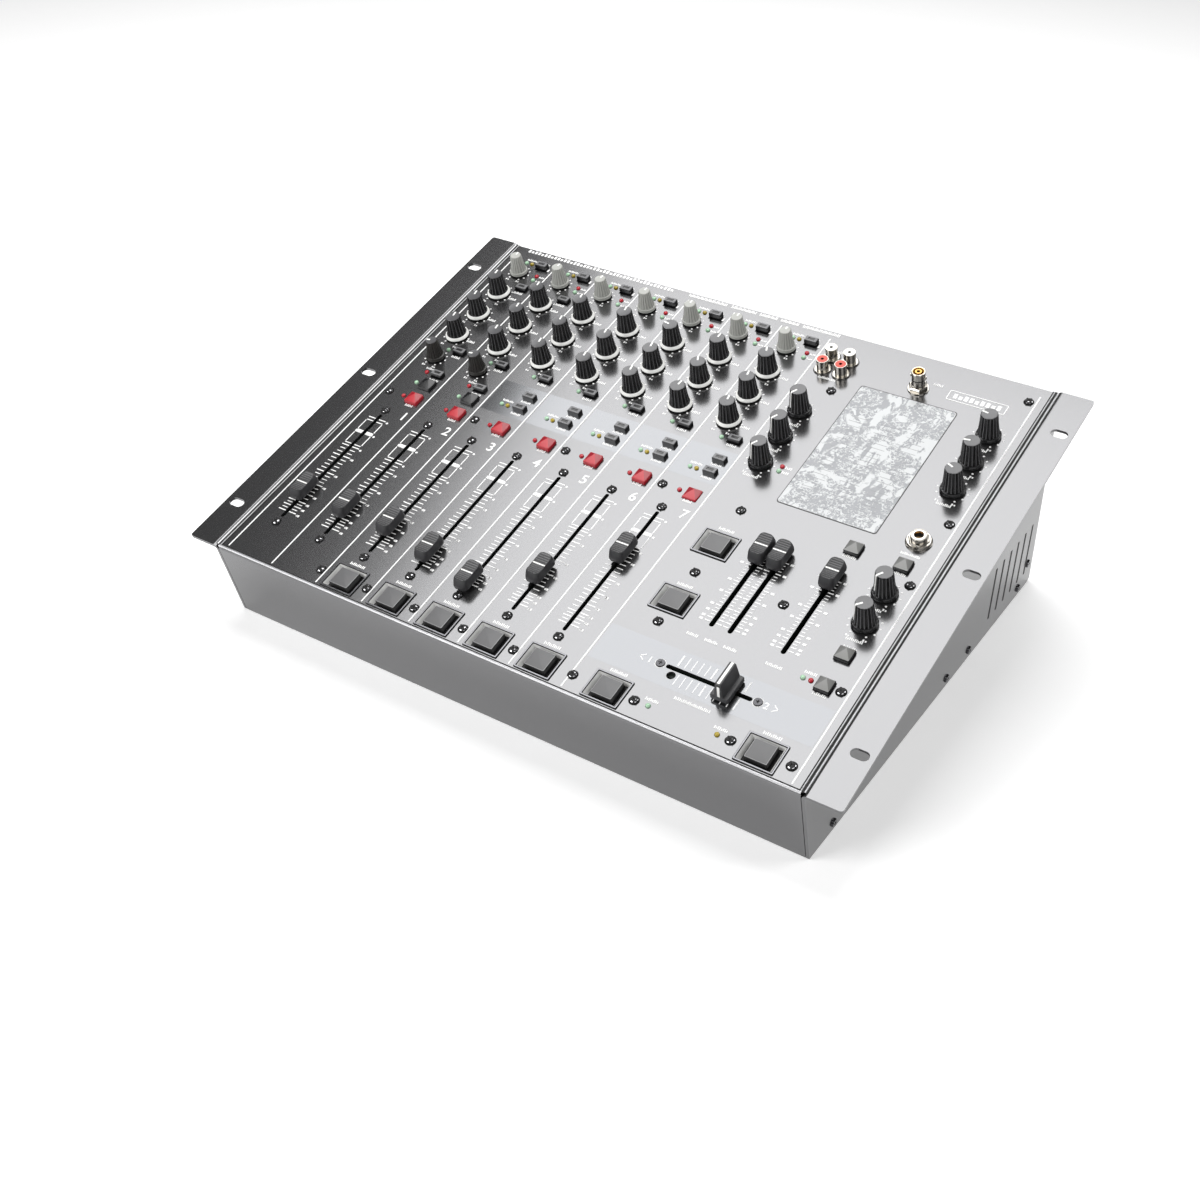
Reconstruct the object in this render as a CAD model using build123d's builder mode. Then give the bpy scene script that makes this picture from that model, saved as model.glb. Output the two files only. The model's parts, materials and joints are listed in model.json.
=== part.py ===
"""Seven-channel desk mixer with crossfader: a sloping folded steel desk case with rack ears,
and its controls, sockets, screws and inner parts. Units are millimetres.

The row frame has +X to the player's right, +Y to the back and +Z up, with its origin at the
centre of the flat bottom. Controls are placed in the control panel's own frame: x from its
centre line, v up the slope from its front edge, n square to it.
"""
from build123d import *
from math import cos, radians, sin
import os

os.makedirs("parts", exist_ok=True)

# ---- driving dimensions of the case ---------------------------------------------------------
PANEL_W = 482.6          # 19-inch rack width, over the ears
PANEL_D = 354.8          # eight rack units, measured along the slope
TILT = 15.4              # slope of the panel, degrees
FRONT_H = 62.8           # height of the front face, square to the panel
REAR_H = 150.5           # depth below the panel at the foot of the rear wall
BODY_W = 437.0           # over the two side plates
SHEET = 2.0              # steel of the panel and the side plates
PAN_SHEET = 1.5          # steel of the bottom pan
GROOVE = 0.4             # gap between the top panel and each side plate
RELIEF = 0.3             # gap round a control in its opening

# ---- driving dimensions of the controls -----------------------------------------------------
PITCH = 38.1             # channel pitch
FIRST_LINE = -209.6      # x of the line left of channel 1
CHANNELS = 7
KNOB_DX = 14.7           # knob column, from the channel's left line
FADER_DX = 15.7          # fader column
BUTTON_DX = 28.2         # push-button column
BOARD_N = -24.0          # top of the circuit board, below the panel
SHAFT_R = 3.0            # potentiometer shaft
SHAFT_CLEARANCE = 0.1    # between the shaft and its bushing
KNOB_LIFT = 0.6          # gap under a knob
CAP_LIFT = 1.6           # gap under a fader cap
SCREW_HEAD_R = 3.0
SCREW_SHANK_R = 1.5

SLOPE_SIN = sin(radians(TILT))
SLOPE_COS = cos(radians(TILT))
PANEL_Z = FRONT_H * SLOPE_COS                          # height of the panel's front edge
BOTTOM_FRONT = FRONT_H * SLOPE_SIN
REAR_V = 326.0                                         # foot of the rear wall, along the slope
CORNER_V = 321.6                                       # end of the flat bottom, along the slope
BOTTOM_REAR = CORNER_V * SLOPE_COS + (FRONT_H + CORNER_V * SLOPE_SIN / SLOPE_COS) * SLOPE_SIN
PANEL_Y = -(BOTTOM_FRONT + BOTTOM_REAR) / 2            # the panel's front edge, in the row frame


def desk_y(v, n):
    """Y in the row frame of a point v up the slope and n above the panel."""
    return PANEL_Y + v * SLOPE_COS - n * SLOPE_SIN


def desk_z(v, n):
    """Z in the row frame of the same point."""
    return PANEL_Z + v * SLOPE_SIN + n * SLOPE_COS


def on_panel(n=0.0):
    """The panel's plane, raised by n: its x is X and its y runs up the slope."""
    return Plane(
        origin=(0, desk_y(0, n), desk_z(0, n)),
        x_dir=(1, 0, 0),
        z_dir=(0, -SLOPE_SIN, SLOPE_COS),
    )


def finish(piece, label):
    """Label one finished piece and write its file."""
    piece.part.label = label
    export_step(piece.part, "parts/" + label + ".step")


def finish_group(solids, label):
    """Label several separate solids as one node and write its file."""
    group = Compound(children=solids)
    group.label = label
    export_step(group, "parts/" + label + ".step")


# The case's corners from the side, as (Y, Z).
FRONT_FOOT = (desk_y(0, -FRONT_H), 0.0)
REAR_CORNER = (PANEL_Y + BOTTOM_REAR, 0.0)
REAR_FOOT = (desk_y(REAR_V, -REAR_H), desk_z(REAR_V, -REAR_H))
REAR_TOP = (desk_y(PANEL_D, 0), desk_z(PANEL_D, 0))

# ---- where every control stands, in the panel's frame ---------------------------------------
lines = [FIRST_LINE + PITCH * i for i in range(CHANNELS)]
plain_channels = lines[2:]       # channels 3 to 7, which have switches in place of the pan knob
pan_channels = lines[:2]         # channels 1 and 2

# Knobs: name, x, v, rest angle of the pointer (degrees clockwise from straight up the slope).
GAIN_V = 324.1
EQ_ROWS = [("high", 297.3), ("mid", 270.5), ("low", 243.7)]
PAN_V = 216.9
EQ_REST = {("high", 5): -80, ("high", 7): -20, ("mid", 6): -25, ("high", 6): 0, ("low", 6): 5}
gain_knobs = [("gain_knob_%d" % (i + 1), lines[i] + KNOB_DX, GAIN_V, 0) for i in range(CHANNELS)]
eq_knobs = [
    ("%s_knob_%d" % (band, i + 1), lines[i] + KNOB_DX, v, EQ_REST.get((band, i + 1), -10))
    for band, v in EQ_ROWS for i in range(CHANNELS)
]
pan_knobs = [("pan_knob_%d" % (i + 1), lines[i] + KNOB_DX, PAN_V, -100) for i in range(2)]
master_knobs = [
    ("effect_level_knob", 72.4, 270.6, -150),
    ("booth_level_knob", 72.4, 243.8, -150),
    ("record_level_knob", 72.4, 217.0, -150),
    ("microphone_high_knob", 193.6, 297.4, -80),
    ("microphone_low_knob", 193.6, 270.6, -100),
    ("microphone_level_knob", 193.6, 243.7, -65),
    ("cue_mix_knob", 193.6, 148.4, -145),
    ("phones_level_knob", 193.6, 122.4, -135),
]

# Channel faders: v of each cap at rest. All slide 100 mm.
FADER_REST = [66.0, 65.1, 64.7, 56.9, 47.9, 72.7, 109.8]
FADER_LOW = 45.7
FADER_HIGH = 145.7
FADER_SLOT = (40.4, 150.6)
channel_faders = [
    ("channel_fader_%d" % (i + 1), lines[i] + FADER_DX, FADER_REST[i]) for i in range(CHANNELS)
]
# Output faders slide 60 mm and stand at the top.
OUTPUT_SLOT = (81.7, 149.0)
OUTPUT_LOW = 85.3
OUTPUT_HIGH = 145.3
output_faders = [
    ("main_left_fader", 113.0, OUTPUT_HIGH),
    ("main_right_fader", 125.6, OUTPUT_HIGH),
    ("monitor_fader", 161.0, OUTPUT_HIGH),
]
# The crossfader slides 45 mm across.
CROSS_V = 44.5
CROSS_SLOT = (104.9, 162.0)
CROSS_LOW = 111.0
CROSS_HIGH = 155.5
CROSS_REST = 146.0

PAD_V = 14.4
pads = [(x + 16.3, PAD_V) for x in plain_channels] + [
    (82.7, PAD_V), (184.3, PAD_V), (82.7, 140.9), (82.7, 90.1),
]
PAD_BEZEL = (25.4, 21.3)
PAD_CAP = (14.6, 14.2)

slim_switches = (
    [(x + BUTTON_DX, 334.8, 6.7) for x in lines]
    + [(x + BUTTON_DX, 307.5, 4.6) for x in pan_channels]
    + [(x + BUTTON_DX, 227.3, 4.8) for x in lines]
    + [(x + BUTTON_DX, 207.0, 4.8) for x in plain_channels]
    + [(x + BUTTON_DX, 194.6, 4.8) for x in plain_channels]
    + [(x + BUTTON_DX, 200.3, 4.8) for x in pan_channels]
)
SLIM_BASE = (9.2, 5.2)
SLIM_TOP = (8.3, 4.3)
CUE_V = 172.7
SQUARE_HEIGHT = 4.2
square_buttons = (
    [(x + BUTTON_DX - 0.2, CUE_V) for x in lines]
    + [(x + BUTTON_DX - 0.2, 188.7) for x in pan_channels]
    + [(161.4, 172.8), (194.0, 172.8), (194.0, 96.0), (194.0, 71.0)]
)
SQUARE_BASE = (10.0, 9.8)
SQUARE_TOP = (9.0, 8.8)
PRESSED_CUE = lines[6] + BUTTON_DX - 0.2               # this cue button is latched down
PRESSED_DEPTH = 1.4

FADER_SCREW_V = (35.0, 155.0)
panel_screws = (
    [(x + FADER_DX, v) for x in lines for v in FADER_SCREW_V]
    + [(lines[i] + 5.2, 173.3) for i in (0, 2, 4, 6)]
    + [(x, 14.2) for x in (-137.0, -98.7, -60.4, -22.3, 15.8, 58.8, 101.5, 165.0, 203.4)]
    + [(82.3, 296.8), (204.0, 337.5), (204.0, 215.8), (82.4, 173.3), (82.8, 115.2)]
    + [(82.8, 71.6), (143.9, 115.2), (204.1, 160.5), (204.1, 71.6)]
)
cross_screws = [(100.9, CROSS_V), (165.7, CROSS_V)]
side_screws = [(29.5, -65.0), (185.0, -107.1), (220.0, -116.6), (304.2, -140.2), (320.2, -130.5)]

RCA_X = (67.0, 80.7)
RCA_V = (314.3, 327.5)
BNC_AT = (133.7, 322.0)
PHONES_AT = (193.6, 195.0)
PHONES_BORE_R = 3.2
PHONES_BORE_L = 28.0
METER = (98.5, 190.0, 167.2, 309.7)                    # x, v of one corner, x, v of the other
LAMP_TEST_HOLE = (111.1, 39.4)
leds = (
    [(x + dx, v) for x in lines for dx, v in (
        (13.5, 336.4), (18.3, 336.4), (30.2, 325.2), (30.2, 320.2), (18.3, 227.6), (18.2, 173.2))]
    + [(x + dx, 194.9) for x in plain_channels for dx in (13.3, 18.2)]
    + [(x + dx, v) for x in pan_channels for dx, v in ((18.3, 200.9), (18.2, 188.6))]
    + [(87.3, 219.0), (87.1, 214.5), (180.0, 71.5), (185.1, 71.5), (110.8, 14.4), (156.3, 14.4)]
)
LED_R = 1.7


# ---- the case -------------------------------------------------------------------------------
# Top panel: one sheet folded down over the front, with an opening for every control.
PANEL_HALF = BODY_W / 2 - SHEET - GROOVE
PANEL_BACK = PANEL_D - SHEET
FOLD_R = 2.5

with BuildPart() as top_panel:
    with BuildSketch(Plane.YZ):
        with BuildLine():
            Polyline(
                (desk_y(PANEL_BACK, 0), desk_z(PANEL_BACK, 0)),
                (desk_y(0, 0), desk_z(0, 0)),
                (desk_y(0, -FRONT_H), desk_z(0, -FRONT_H)),
                (desk_y(SHEET, -FRONT_H), desk_z(SHEET, -FRONT_H)),
                (desk_y(SHEET, -SHEET), desk_z(SHEET, -SHEET)),
                (desk_y(PANEL_BACK, -SHEET), desk_z(PANEL_BACK, -SHEET)),
                close=True,
            )
        make_face()
    extrude(amount=PANEL_HALF, both=True)
    fold_edge = top_panel.edges().filter_by(Axis.X).sort_by_distance((0, PANEL_Y, PANEL_Z))[0]
    fillet(fold_edge, FOLD_R)
    with BuildSketch(on_panel()):
        for _, x, v, _ in gain_knobs + eq_knobs + pan_knobs + master_knobs:
            with Locations((x, v)):
                Circle(SHAFT_R + 1.6)
        for _, x, _ in channel_faders:
            with Locations((x, sum(FADER_SLOT) / 2)):
                SlotOverall(FADER_SLOT[1] - FADER_SLOT[0], 2.7, rotation=90)
        for _, x, _ in output_faders:
            with Locations((x, sum(OUTPUT_SLOT) / 2)):
                SlotOverall(OUTPUT_SLOT[1] - OUTPUT_SLOT[0], 3.2, rotation=90)
        with Locations((sum(CROSS_SLOT) / 2, CROSS_V)):
            SlotOverall(CROSS_SLOT[1] - CROSS_SLOT[0], 3.0)
        with Locations(*pads):
            Rectangle(PAD_BEZEL[0] - 1.2, PAD_BEZEL[1] - 1.2)
        with Locations(*[(x, v) for x, v, _ in slim_switches]):
            Rectangle(SLIM_BASE[0] + 2 * RELIEF, SLIM_BASE[1] + 2 * RELIEF)
        with Locations(*square_buttons):
            Rectangle(SQUARE_BASE[0] + 2 * RELIEF, SQUARE_BASE[1] + 2 * RELIEF)
        with Locations(*panel_screws, *cross_screws):
            Circle(SCREW_SHANK_R + 0.1)
        with Locations(*[(x, v) for x in RCA_X for v in RCA_V]):
            Circle(4.4)
        with Locations(BNC_AT, PHONES_AT):
            Circle(5.2)
        with Locations(LAMP_TEST_HOLE):
            Circle(2.8)
        with Locations(*leds):
            Circle(LED_R)
    extrude(amount=-SHEET - 1, mode=Mode.SUBTRACT)
    # the meter window lies in a shallow recess with a smaller opening under it
    with BuildSketch(on_panel()):
        with Locations(((METER[0] + METER[2]) / 2, (METER[1] + METER[3]) / 2)):
            RectangleRounded(METER[2] - METER[0] + 0.2, METER[3] - METER[1] + 0.2, 1.7)
    extrude(amount=-1.0, mode=Mode.SUBTRACT)
    with BuildSketch(on_panel(-1.0)):
        with Locations(((METER[0] + METER[2]) / 2, (METER[1] + METER[3]) / 2)):
            RectangleRounded(METER[2] - METER[0] - 8, METER[3] - METER[1] - 8, 1.0)
    extrude(amount=-SHEET, mode=Mode.SUBTRACT)
finish(top_panel, "top_panel")

# Side plates: each is an upright plate whose top edge is folded outwards into a rack ear with
# three slots, and whose rear has six upright vents.
FOLD_OUTER = 4.0
SLOT_V = (37.7, 183.75, 317.1)
SLOT_X = 232.55
SLOT_SIZE = (11.4, 7.0)
VENT_Y = 273.8 + PANEL_Y
VENT_PITCH = 12.9
VENT_Z = (13.6, 54.2)
VENT_W = 1.6
VENTS = 6
INNER_X = BODY_W / 2 - SHEET


def side_plate(side):
    """One side plate; side is -1 on the left and 1 on the right."""
    edge_plane = Plane(
        origin=(0, desk_y(0, 0), desk_z(0, 0)),
        x_dir=(1, 0, 0),
        z_dir=(0, -SLOPE_COS, -SLOPE_SIN),
    )
    with BuildPart() as plate:
        with BuildSketch(Plane.YZ.offset(side * INNER_X)):
            with BuildLine():
                Polyline(
                    (desk_y(0, -FOLD_OUTER), desk_z(0, -FOLD_OUTER)),
                    FRONT_FOOT,
                    REAR_CORNER,
                    REAR_FOOT,
                    (desk_y(PANEL_D, -FOLD_OUTER), desk_z(PANEL_D, -FOLD_OUTER)),
                    close=True,
                )
            make_face()
        extrude(amount=side * SHEET)
        # the fold and the ear, square to the panel
        with BuildSketch(edge_plane):
            with BuildLine():
                Line((side * INNER_X, -FOLD_OUTER), (side * (INNER_X + SHEET), -FOLD_OUTER))
                ThreePointArc(
                    (side * (INNER_X + SHEET), -FOLD_OUTER),
                    (side * (INNER_X + SHEET + 0.586), -FOLD_OUTER + 1.414),
                    (side * (INNER_X + FOLD_OUTER), -SHEET),
                )
                Line((side * (INNER_X + FOLD_OUTER), -SHEET), (side * PANEL_W / 2, -SHEET))
                Line((side * PANEL_W / 2, -SHEET), (side * PANEL_W / 2, 0))
                Line((side * PANEL_W / 2, 0), (side * (INNER_X + FOLD_OUTER), 0))
                ThreePointArc(
                    (side * (INNER_X + FOLD_OUTER), 0),
                    (side * (INNER_X + 1.172), -1.172),
                    (side * INNER_X, -FOLD_OUTER),
                )
            make_face()
        extrude(amount=-PANEL_D)
        corners = plate.edges().filter_by(Axis((0, 0, 0), (0, -SLOPE_SIN, SLOPE_COS)))
        fillet(corners.group_by(Axis.X)[-1 if side > 0 else 0], 2.0)
        with BuildSketch(on_panel()):
            with Locations(*[(side * SLOT_X, v) for v in SLOT_V]):
                SlotOverall(*SLOT_SIZE)
        extrude(amount=-SHEET - 1, mode=Mode.SUBTRACT)
        with BuildSketch(Plane.YZ.offset(side * INNER_X)):
            for i in range(VENTS):
                with Locations((VENT_Y + VENT_PITCH * i, sum(VENT_Z) / 2)):
                    SlotOverall(VENT_Z[1] - VENT_Z[0], VENT_W, rotation=90)
            with Locations(*[(desk_y(v, n), desk_z(v, n)) for v, n in side_screws]):
                Circle(SCREW_SHANK_R + 0.1)
        extrude(amount=side * SHEET, mode=Mode.SUBTRACT)
    return plate


finish(side_plate(-1), "left_side_plate")
finish(side_plate(1), "right_side_plate")

# Bottom pan: bottom, rear corner and leaning rear wall bent from one sheet, with an inner
# flange along both sides that takes the side screws. Its rear wall has the socket openings.
PAN_HALF = INNER_X - 0.1
FLANGE_D = 15.0
REAR_DIR = Vector(0, REAR_TOP[0] - REAR_FOOT[0], REAR_TOP[1] - REAR_FOOT[1]).normalized()
REAR_OUT = Vector(0, REAR_DIR.Z, -REAR_DIR.Y)
REAR_WALL = Plane(
    origin=(0, REAR_FOOT[0], REAR_FOOT[1]),
    x_dir=(-1, 0, 0),
    z_dir=(0, REAR_OUT.Y, REAR_OUT.Z),
)
INLET_AT = (-165.0, 32.0)            # on the rear wall: x to the viewer's right, height
INLET_HOLE = (27.6, 20.4)
OUTPUT_AT = [(-112.0, 32.0), (-78.0, 32.0)]
OUTPUT_R = 12.2
LINE_X = [30.0 + 24.0 * i for i in range(CHANNELS)]
LINE_H = (28.0, 42.0, 66.0, 80.0)
LINE_HOLE_R = 4.4
PAN_FRONT = desk_y(0, -FRONT_H) + SHEET + 0.4
WALL_DROP = 3.0                      # the rear wall stops this far below the panel's back edge
FLANGE_DROP = 6.0


def pan_path(depth, drop):
    """Closed outline of a strip of the given depth along the pan's bottom and rear wall."""
    Polyline(
        (PAN_FRONT, 0),
        REAR_CORNER,
        REAR_FOOT,
        (REAR_TOP[0] - REAR_DIR.Y * drop, REAR_TOP[1] - REAR_DIR.Z * drop),
    )
    offset(amount=depth, side=Side.LEFT)


with BuildPart() as bottom_pan:
    with BuildSketch(Plane.YZ):
        with BuildLine():
            pan_path(PAN_SHEET, WALL_DROP)
        make_face()
    extrude(amount=PAN_HALF, both=True)
    for side in (-1, 1):
        with BuildSketch(Plane.YZ.offset(side * PAN_HALF)):
            with BuildLine():
                pan_path(FLANGE_D, FLANGE_DROP)
            make_face()
            with Locations(*[(desk_y(v, n), desk_z(v, n)) for v, n in side_screws]):
                Circle(SCREW_SHANK_R, mode=Mode.SUBTRACT)
        extrude(amount=-side * PAN_SHEET)
    with BuildSketch(REAR_WALL):
        with Locations(INLET_AT):
            Rectangle(*INLET_HOLE)
        with Locations(*OUTPUT_AT):
            Circle(OUTPUT_R)
        with Locations(*[(x, h) for x in LINE_X for h in LINE_H]):
            Circle(LINE_HOLE_R)
    extrude(amount=-PAN_SHEET - 1, mode=Mode.SUBTRACT)
finish(bottom_pan, "bottom_pan")

# Meter window: a clear acrylic plate let into the panel, with its printed film.
with BuildPart() as meter_window:
    with BuildSketch(on_panel(-1.0)):
        with Locations(((METER[0] + METER[2]) / 2, (METER[1] + METER[3]) / 2)):
            RectangleRounded(METER[2] - METER[0], METER[3] - METER[1], 1.6)
    extrude(amount=1.25)
finish(meter_window, "meter_window")

# ---- inside ---------------------------------------------------------------------------------
# Circuit board with its pot and fader bodies, switches, spacers and the power supply.
BOARD_T = 1.6
BUSHING_TOP = -2.4
POT_TOP = -12.0
FADER_BODY_TOP = -2.2
FADER_BODY_DEPTH = 14.0
CHANNEL_N = FADER_BODY_TOP - FADER_BODY_DEPTH + 2.0
all_knobs = gain_knobs + eq_knobs + pan_knobs + master_knobs


def fader_tray(x, v, length, slot, turned=False):
    """A fader's closed tray, open along its top for the lever, with its two screw holes."""
    angle = 0 if turned else 90
    with BuildPart() as tray:
        with BuildSketch(on_panel(FADER_BODY_TOP)):
            with Locations((x, v)):
                Rectangle(length, 11.0, rotation=angle)
        extrude(amount=-FADER_BODY_DEPTH)
        with BuildSketch(on_panel(FADER_BODY_TOP)):
            with Locations((x, v)):
                SlotOverall(slot, 4.2, rotation=angle)
        extrude(amount=CHANNEL_N - FADER_BODY_TOP, mode=Mode.SUBTRACT)
        with BuildSketch(on_panel(FADER_BODY_TOP)):
            with Locations(*[(px + FADER_DX, pv) for px in lines for pv in FADER_SCREW_V]):
                Circle(SCREW_SHANK_R)
            with Locations(*cross_screws):
                Circle(SCREW_SHANK_R)
        extrude(amount=-6.0, mode=Mode.SUBTRACT)
    return tray.part.solids()


fader_trays = fader_tray(sum(CROSS_SLOT) / 2, CROSS_V, 72.0, 59.0, turned=True)
for _, x, _ in channel_faders:
    fader_trays += fader_tray(x, sum(FADER_SLOT) / 2, 126.0, 112.0)
for _, x, _ in output_faders:
    fader_trays += fader_tray(x, sum(OUTPUT_SLOT) / 2, 80.0, 70.0)

with BuildPart() as pot_bodies:
    with BuildSketch(on_panel(BOARD_N)):
        with Locations(*[(x, v) for _, x, v, _ in all_knobs]):
            Rectangle(10.0, 11.0)
    extrude(amount=POT_TOP - BOARD_N)
    with BuildSketch(on_panel(POT_TOP)):
        with Locations(*[(x, v) for _, x, v, _ in all_knobs]):
            Circle(SHAFT_R + 1.2)
    extrude(amount=BUSHING_TOP - POT_TOP)
    with BuildSketch(on_panel(BUSHING_TOP)):
        with Locations(*[(x, v) for _, x, v, _ in all_knobs]):
            Circle(SHAFT_R + SHAFT_CLEARANCE)
    extrude(amount=-12.0, mode=Mode.SUBTRACT)

with BuildPart() as switch_bodies:
    with BuildSketch(on_panel(BOARD_N)):
        with Locations(*[(x, v) for x, v, _ in slim_switches], *square_buttons):
            Rectangle(7.4, 4.4)
        with Locations(*pads):
            Rectangle(6.0, 6.0)
    extrude(amount=7.0)

with BuildPart() as board:
    with BuildSketch(on_panel(BOARD_N)) as board_outline:
        with Locations((0, 174.0)):
            Rectangle(410.0, 338.0)
        # the board stops short of the sockets that pass down through it
        with Locations((73.8, 321.0)):
            Rectangle(30.0, 28.0, mode=Mode.SUBTRACT)
        with Locations(BNC_AT, PHONES_AT):
            Rectangle(20.0, 20.0, mode=Mode.SUBTRACT)
    extrude(amount=-BOARD_T)

spacer_at = [p for p in panel_screws if p[1] not in FADER_SCREW_V]
with BuildPart() as spacers:
    with BuildSketch(on_panel(-SHEET)):
        with Locations(*spacer_at):
            RegularPolygon(3.0, 6)
            Circle(SCREW_SHANK_R, mode=Mode.SUBTRACT)
    extrude(amount=BOARD_N + SHEET)

with BuildPart() as power_supply:
    with BuildSketch(Plane.XY.offset(PAN_SHEET)):
        with Locations((140.0, 95.0)):
            Rectangle(90.0, 70.0)
    extrude(amount=38.0)
    chamfer(power_supply.edges().filter_by(Axis.Z), 2.0)

finish_group(
    fader_trays + pot_bodies.part.solids() + switch_bodies.part.solids() + board.part.solids()
    + spacers.part.solids() + power_supply.part.solids(),
    "circuit_board",
)

# ---- fixed pieces on the panel --------------------------------------------------------------
# Pad bezels: moulded frames let into the panel, with sloping inner walls round a sunk floor.
BEZEL_RIM = 2.6
with BuildPart() as pad_bezels:
    with BuildSketch(on_panel()):
        with Locations(*pads):
            Rectangle(*PAD_BEZEL)
    extrude(amount=0.3)
    with BuildSketch(on_panel()):
        with Locations(*pads):
            Rectangle(PAD_BEZEL[0] - 1.6, PAD_BEZEL[1] - 1.6)
    extrude(amount=-5.5)
    for x, v in pads:
        with BuildSketch(on_panel(0.3)):
            with Locations((x, v)):
                Rectangle(PAD_BEZEL[0] - BEZEL_RIM, PAD_BEZEL[1] - BEZEL_RIM)
        with BuildSketch(on_panel(-4.0)):
            with Locations((x, v)):
                Rectangle(PAD_BEZEL[0] - 6.0, PAD_BEZEL[1] - 4.8)
        loft(mode=Mode.SUBTRACT)
    with BuildSketch(on_panel(-3.5)):
        with Locations(*pads):
            Rectangle(PAD_CAP[0] + 2 * RELIEF, PAD_CAP[1] + 2 * RELIEF)
    extrude(amount=-3.0, mode=Mode.SUBTRACT)
finish(pad_bezels, "pad_bezels")


# Screws: black pan heads with a cross recess on the panel and the sides, and the crossfader's
# two bright flat heads.
def screws(spots, plane, head_height, shank):
    """A screw at each spot of a plane: a rounded head on it and a shank below."""
    with BuildPart() as driven:
        with BuildSketch(plane):
            with Locations(*spots):
                Circle(SCREW_HEAD_R)
        extrude(amount=head_height, taper=18)
        with BuildSketch(plane):
            with Locations(*spots):
                Circle(SCREW_SHANK_R)
        extrude(amount=-shank)
        with BuildSketch(plane.offset(head_height)):
            with Locations(*spots):
                Rectangle(2.8, 0.7)
                Rectangle(0.7, 2.8)
        extrude(amount=-0.7, mode=Mode.SUBTRACT)
    return driven.part.solids()


all_screws = screws(panel_screws, on_panel(), 1.1, 6.0)
all_screws += screws(cross_screws, on_panel(), 0.8, 6.0)
for side in (-1, 1):
    flank = Plane(origin=(side * BODY_W / 2, 0, 0), x_dir=(0, side, 0), z_dir=(side, 0, 0))
    spots = [(side * desk_y(v, n), desk_z(v, n)) for v, n in side_screws]
    all_screws += screws(spots, flank, 1.2, 3.5)
finish_group(all_screws, "screws")

# Sockets: two pairs of phono sockets, a bayonet lamp socket and the headphone socket on the
# panel; a mains inlet, two output connectors and seven columns of phono sockets on the rear.
PHONO_R = 4.15
PHONO_BASE_R = 5.6
PHONO_H = 9.5


def phono(spots, plane, height):
    """Phono sockets standing on a plane: flange, shell with its insert, and a body behind."""
    with BuildPart() as row:
        with BuildSketch(plane):
            with Locations(*spots):
                Circle(PHONO_BASE_R)
        extrude(amount=1.2)
        with BuildSketch(plane.offset(-8.0)):
            with Locations(*spots):
                Circle(PHONO_R)
        extrude(amount=height + 8.0)
        with BuildSketch(plane.offset(height)):
            with Locations(*spots):
                Circle(3.5)
                Circle(2.6, mode=Mode.SUBTRACT)
        extrude(amount=-6.5, mode=Mode.SUBTRACT)
        with BuildSketch(plane.offset(height)):
            with Locations(*spots):
                Circle(1.65)
        extrude(amount=-8.0, mode=Mode.SUBTRACT)
    return row.part.solids()


phonos = phono([(x, v) for x in RCA_X for v in RCA_V], on_panel(), PHONO_H)
phonos += phono([(x, h) for x in LINE_X for h in LINE_H], REAR_WALL, 8.5)

with BuildPart() as other_sockets:
    # bayonet socket with its hexagon nut and two lugs
    with BuildSketch(on_panel()):
        with Locations(BNC_AT):
            RegularPolygon(6.4, 6)
    extrude(amount=2.2)
    with BuildSketch(on_panel(-14.0)):
        with Locations(BNC_AT):
            Circle(4.4)
    extrude(amount=28.7)
    with BuildSketch(on_panel(9.5)):
        with Locations(BNC_AT):
            Rectangle(11.0, 1.9)
    extrude(amount=1.9)
    with BuildSketch(on_panel(14.7)):
        with Locations(BNC_AT):
            Circle(3.6)
            Circle(2.3, mode=Mode.SUBTRACT)
    extrude(amount=-9.0, mode=Mode.SUBTRACT)
    with BuildSketch(on_panel(14.7)):
        with Locations(BNC_AT):
            Circle(1.2)
    extrude(amount=-9.0, mode=Mode.SUBTRACT)
    # headphone socket: flange, raised collar, body below, blind bore
    with BuildSketch(on_panel()):
        with Locations(PHONES_AT):
            Circle(8.3)
    extrude(amount=2.4, taper=20)
    with BuildSketch(on_panel(-24.0)):
        with Locations(PHONES_AT):
            Circle(5.0)
    extrude(amount=30.5)
    with BuildSketch(on_panel(6.5)):
        with Locations(PHONES_AT):
            Circle(PHONES_BORE_R)
    extrude(amount=-PHONES_BORE_L, mode=Mode.SUBTRACT)
    # mains inlet and the two output connectors on the rear wall
    with BuildSketch(REAR_WALL):
        with Locations(INLET_AT):
            RectangleRounded(48.0, 26.0, 3.0)
    extrude(amount=2.5)
    with BuildSketch(REAR_WALL.offset(2.5)):
        with Locations(INLET_AT):
            Rectangle(27.0, 20.0)
    extrude(amount=-20.0)
    with BuildSketch(REAR_WALL.offset(2.5)):
        with Locations(INLET_AT):
            Rectangle(24.4, 16.4)
    extrude(amount=-17.0, mode=Mode.SUBTRACT)
    with BuildSketch(REAR_WALL):
        with Locations(*OUTPUT_AT):
            RectangleRounded(26.0, 31.0, 2.0)
    extrude(amount=2.0)
    with BuildSketch(REAR_WALL.offset(2.0)):
        with Locations(*OUTPUT_AT):
            Circle(11.8)
    extrude(amount=-18.0)
    with BuildSketch(REAR_WALL.offset(2.0)):
        with Locations(*OUTPUT_AT):
            Circle(9.5)
    extrude(amount=-15.0, mode=Mode.SUBTRACT)
# contact pins that stand on the floors of the mains inlet and the output connectors
with BuildPart() as pins:
    with BuildSketch(REAR_WALL.offset(-14.5)):
        with Locations(INLET_AT):
            with Locations((-7.0, -2.0), (7.0, -2.0), (0.0, 2.0)):
                Rectangle(2.0, 4.0)
    extrude(amount=9.0)
    with BuildSketch(REAR_WALL.offset(-13.0)):
        for x, h in OUTPUT_AT:
            with Locations((x - 4.0, h), (x + 4.0, h), (x, h - 4.0)):
                Circle(1.2)
    extrude(amount=8.0)
finish_group(phonos + other_sockets.part.solids() + pins.part.solids(), "sockets")

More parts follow.
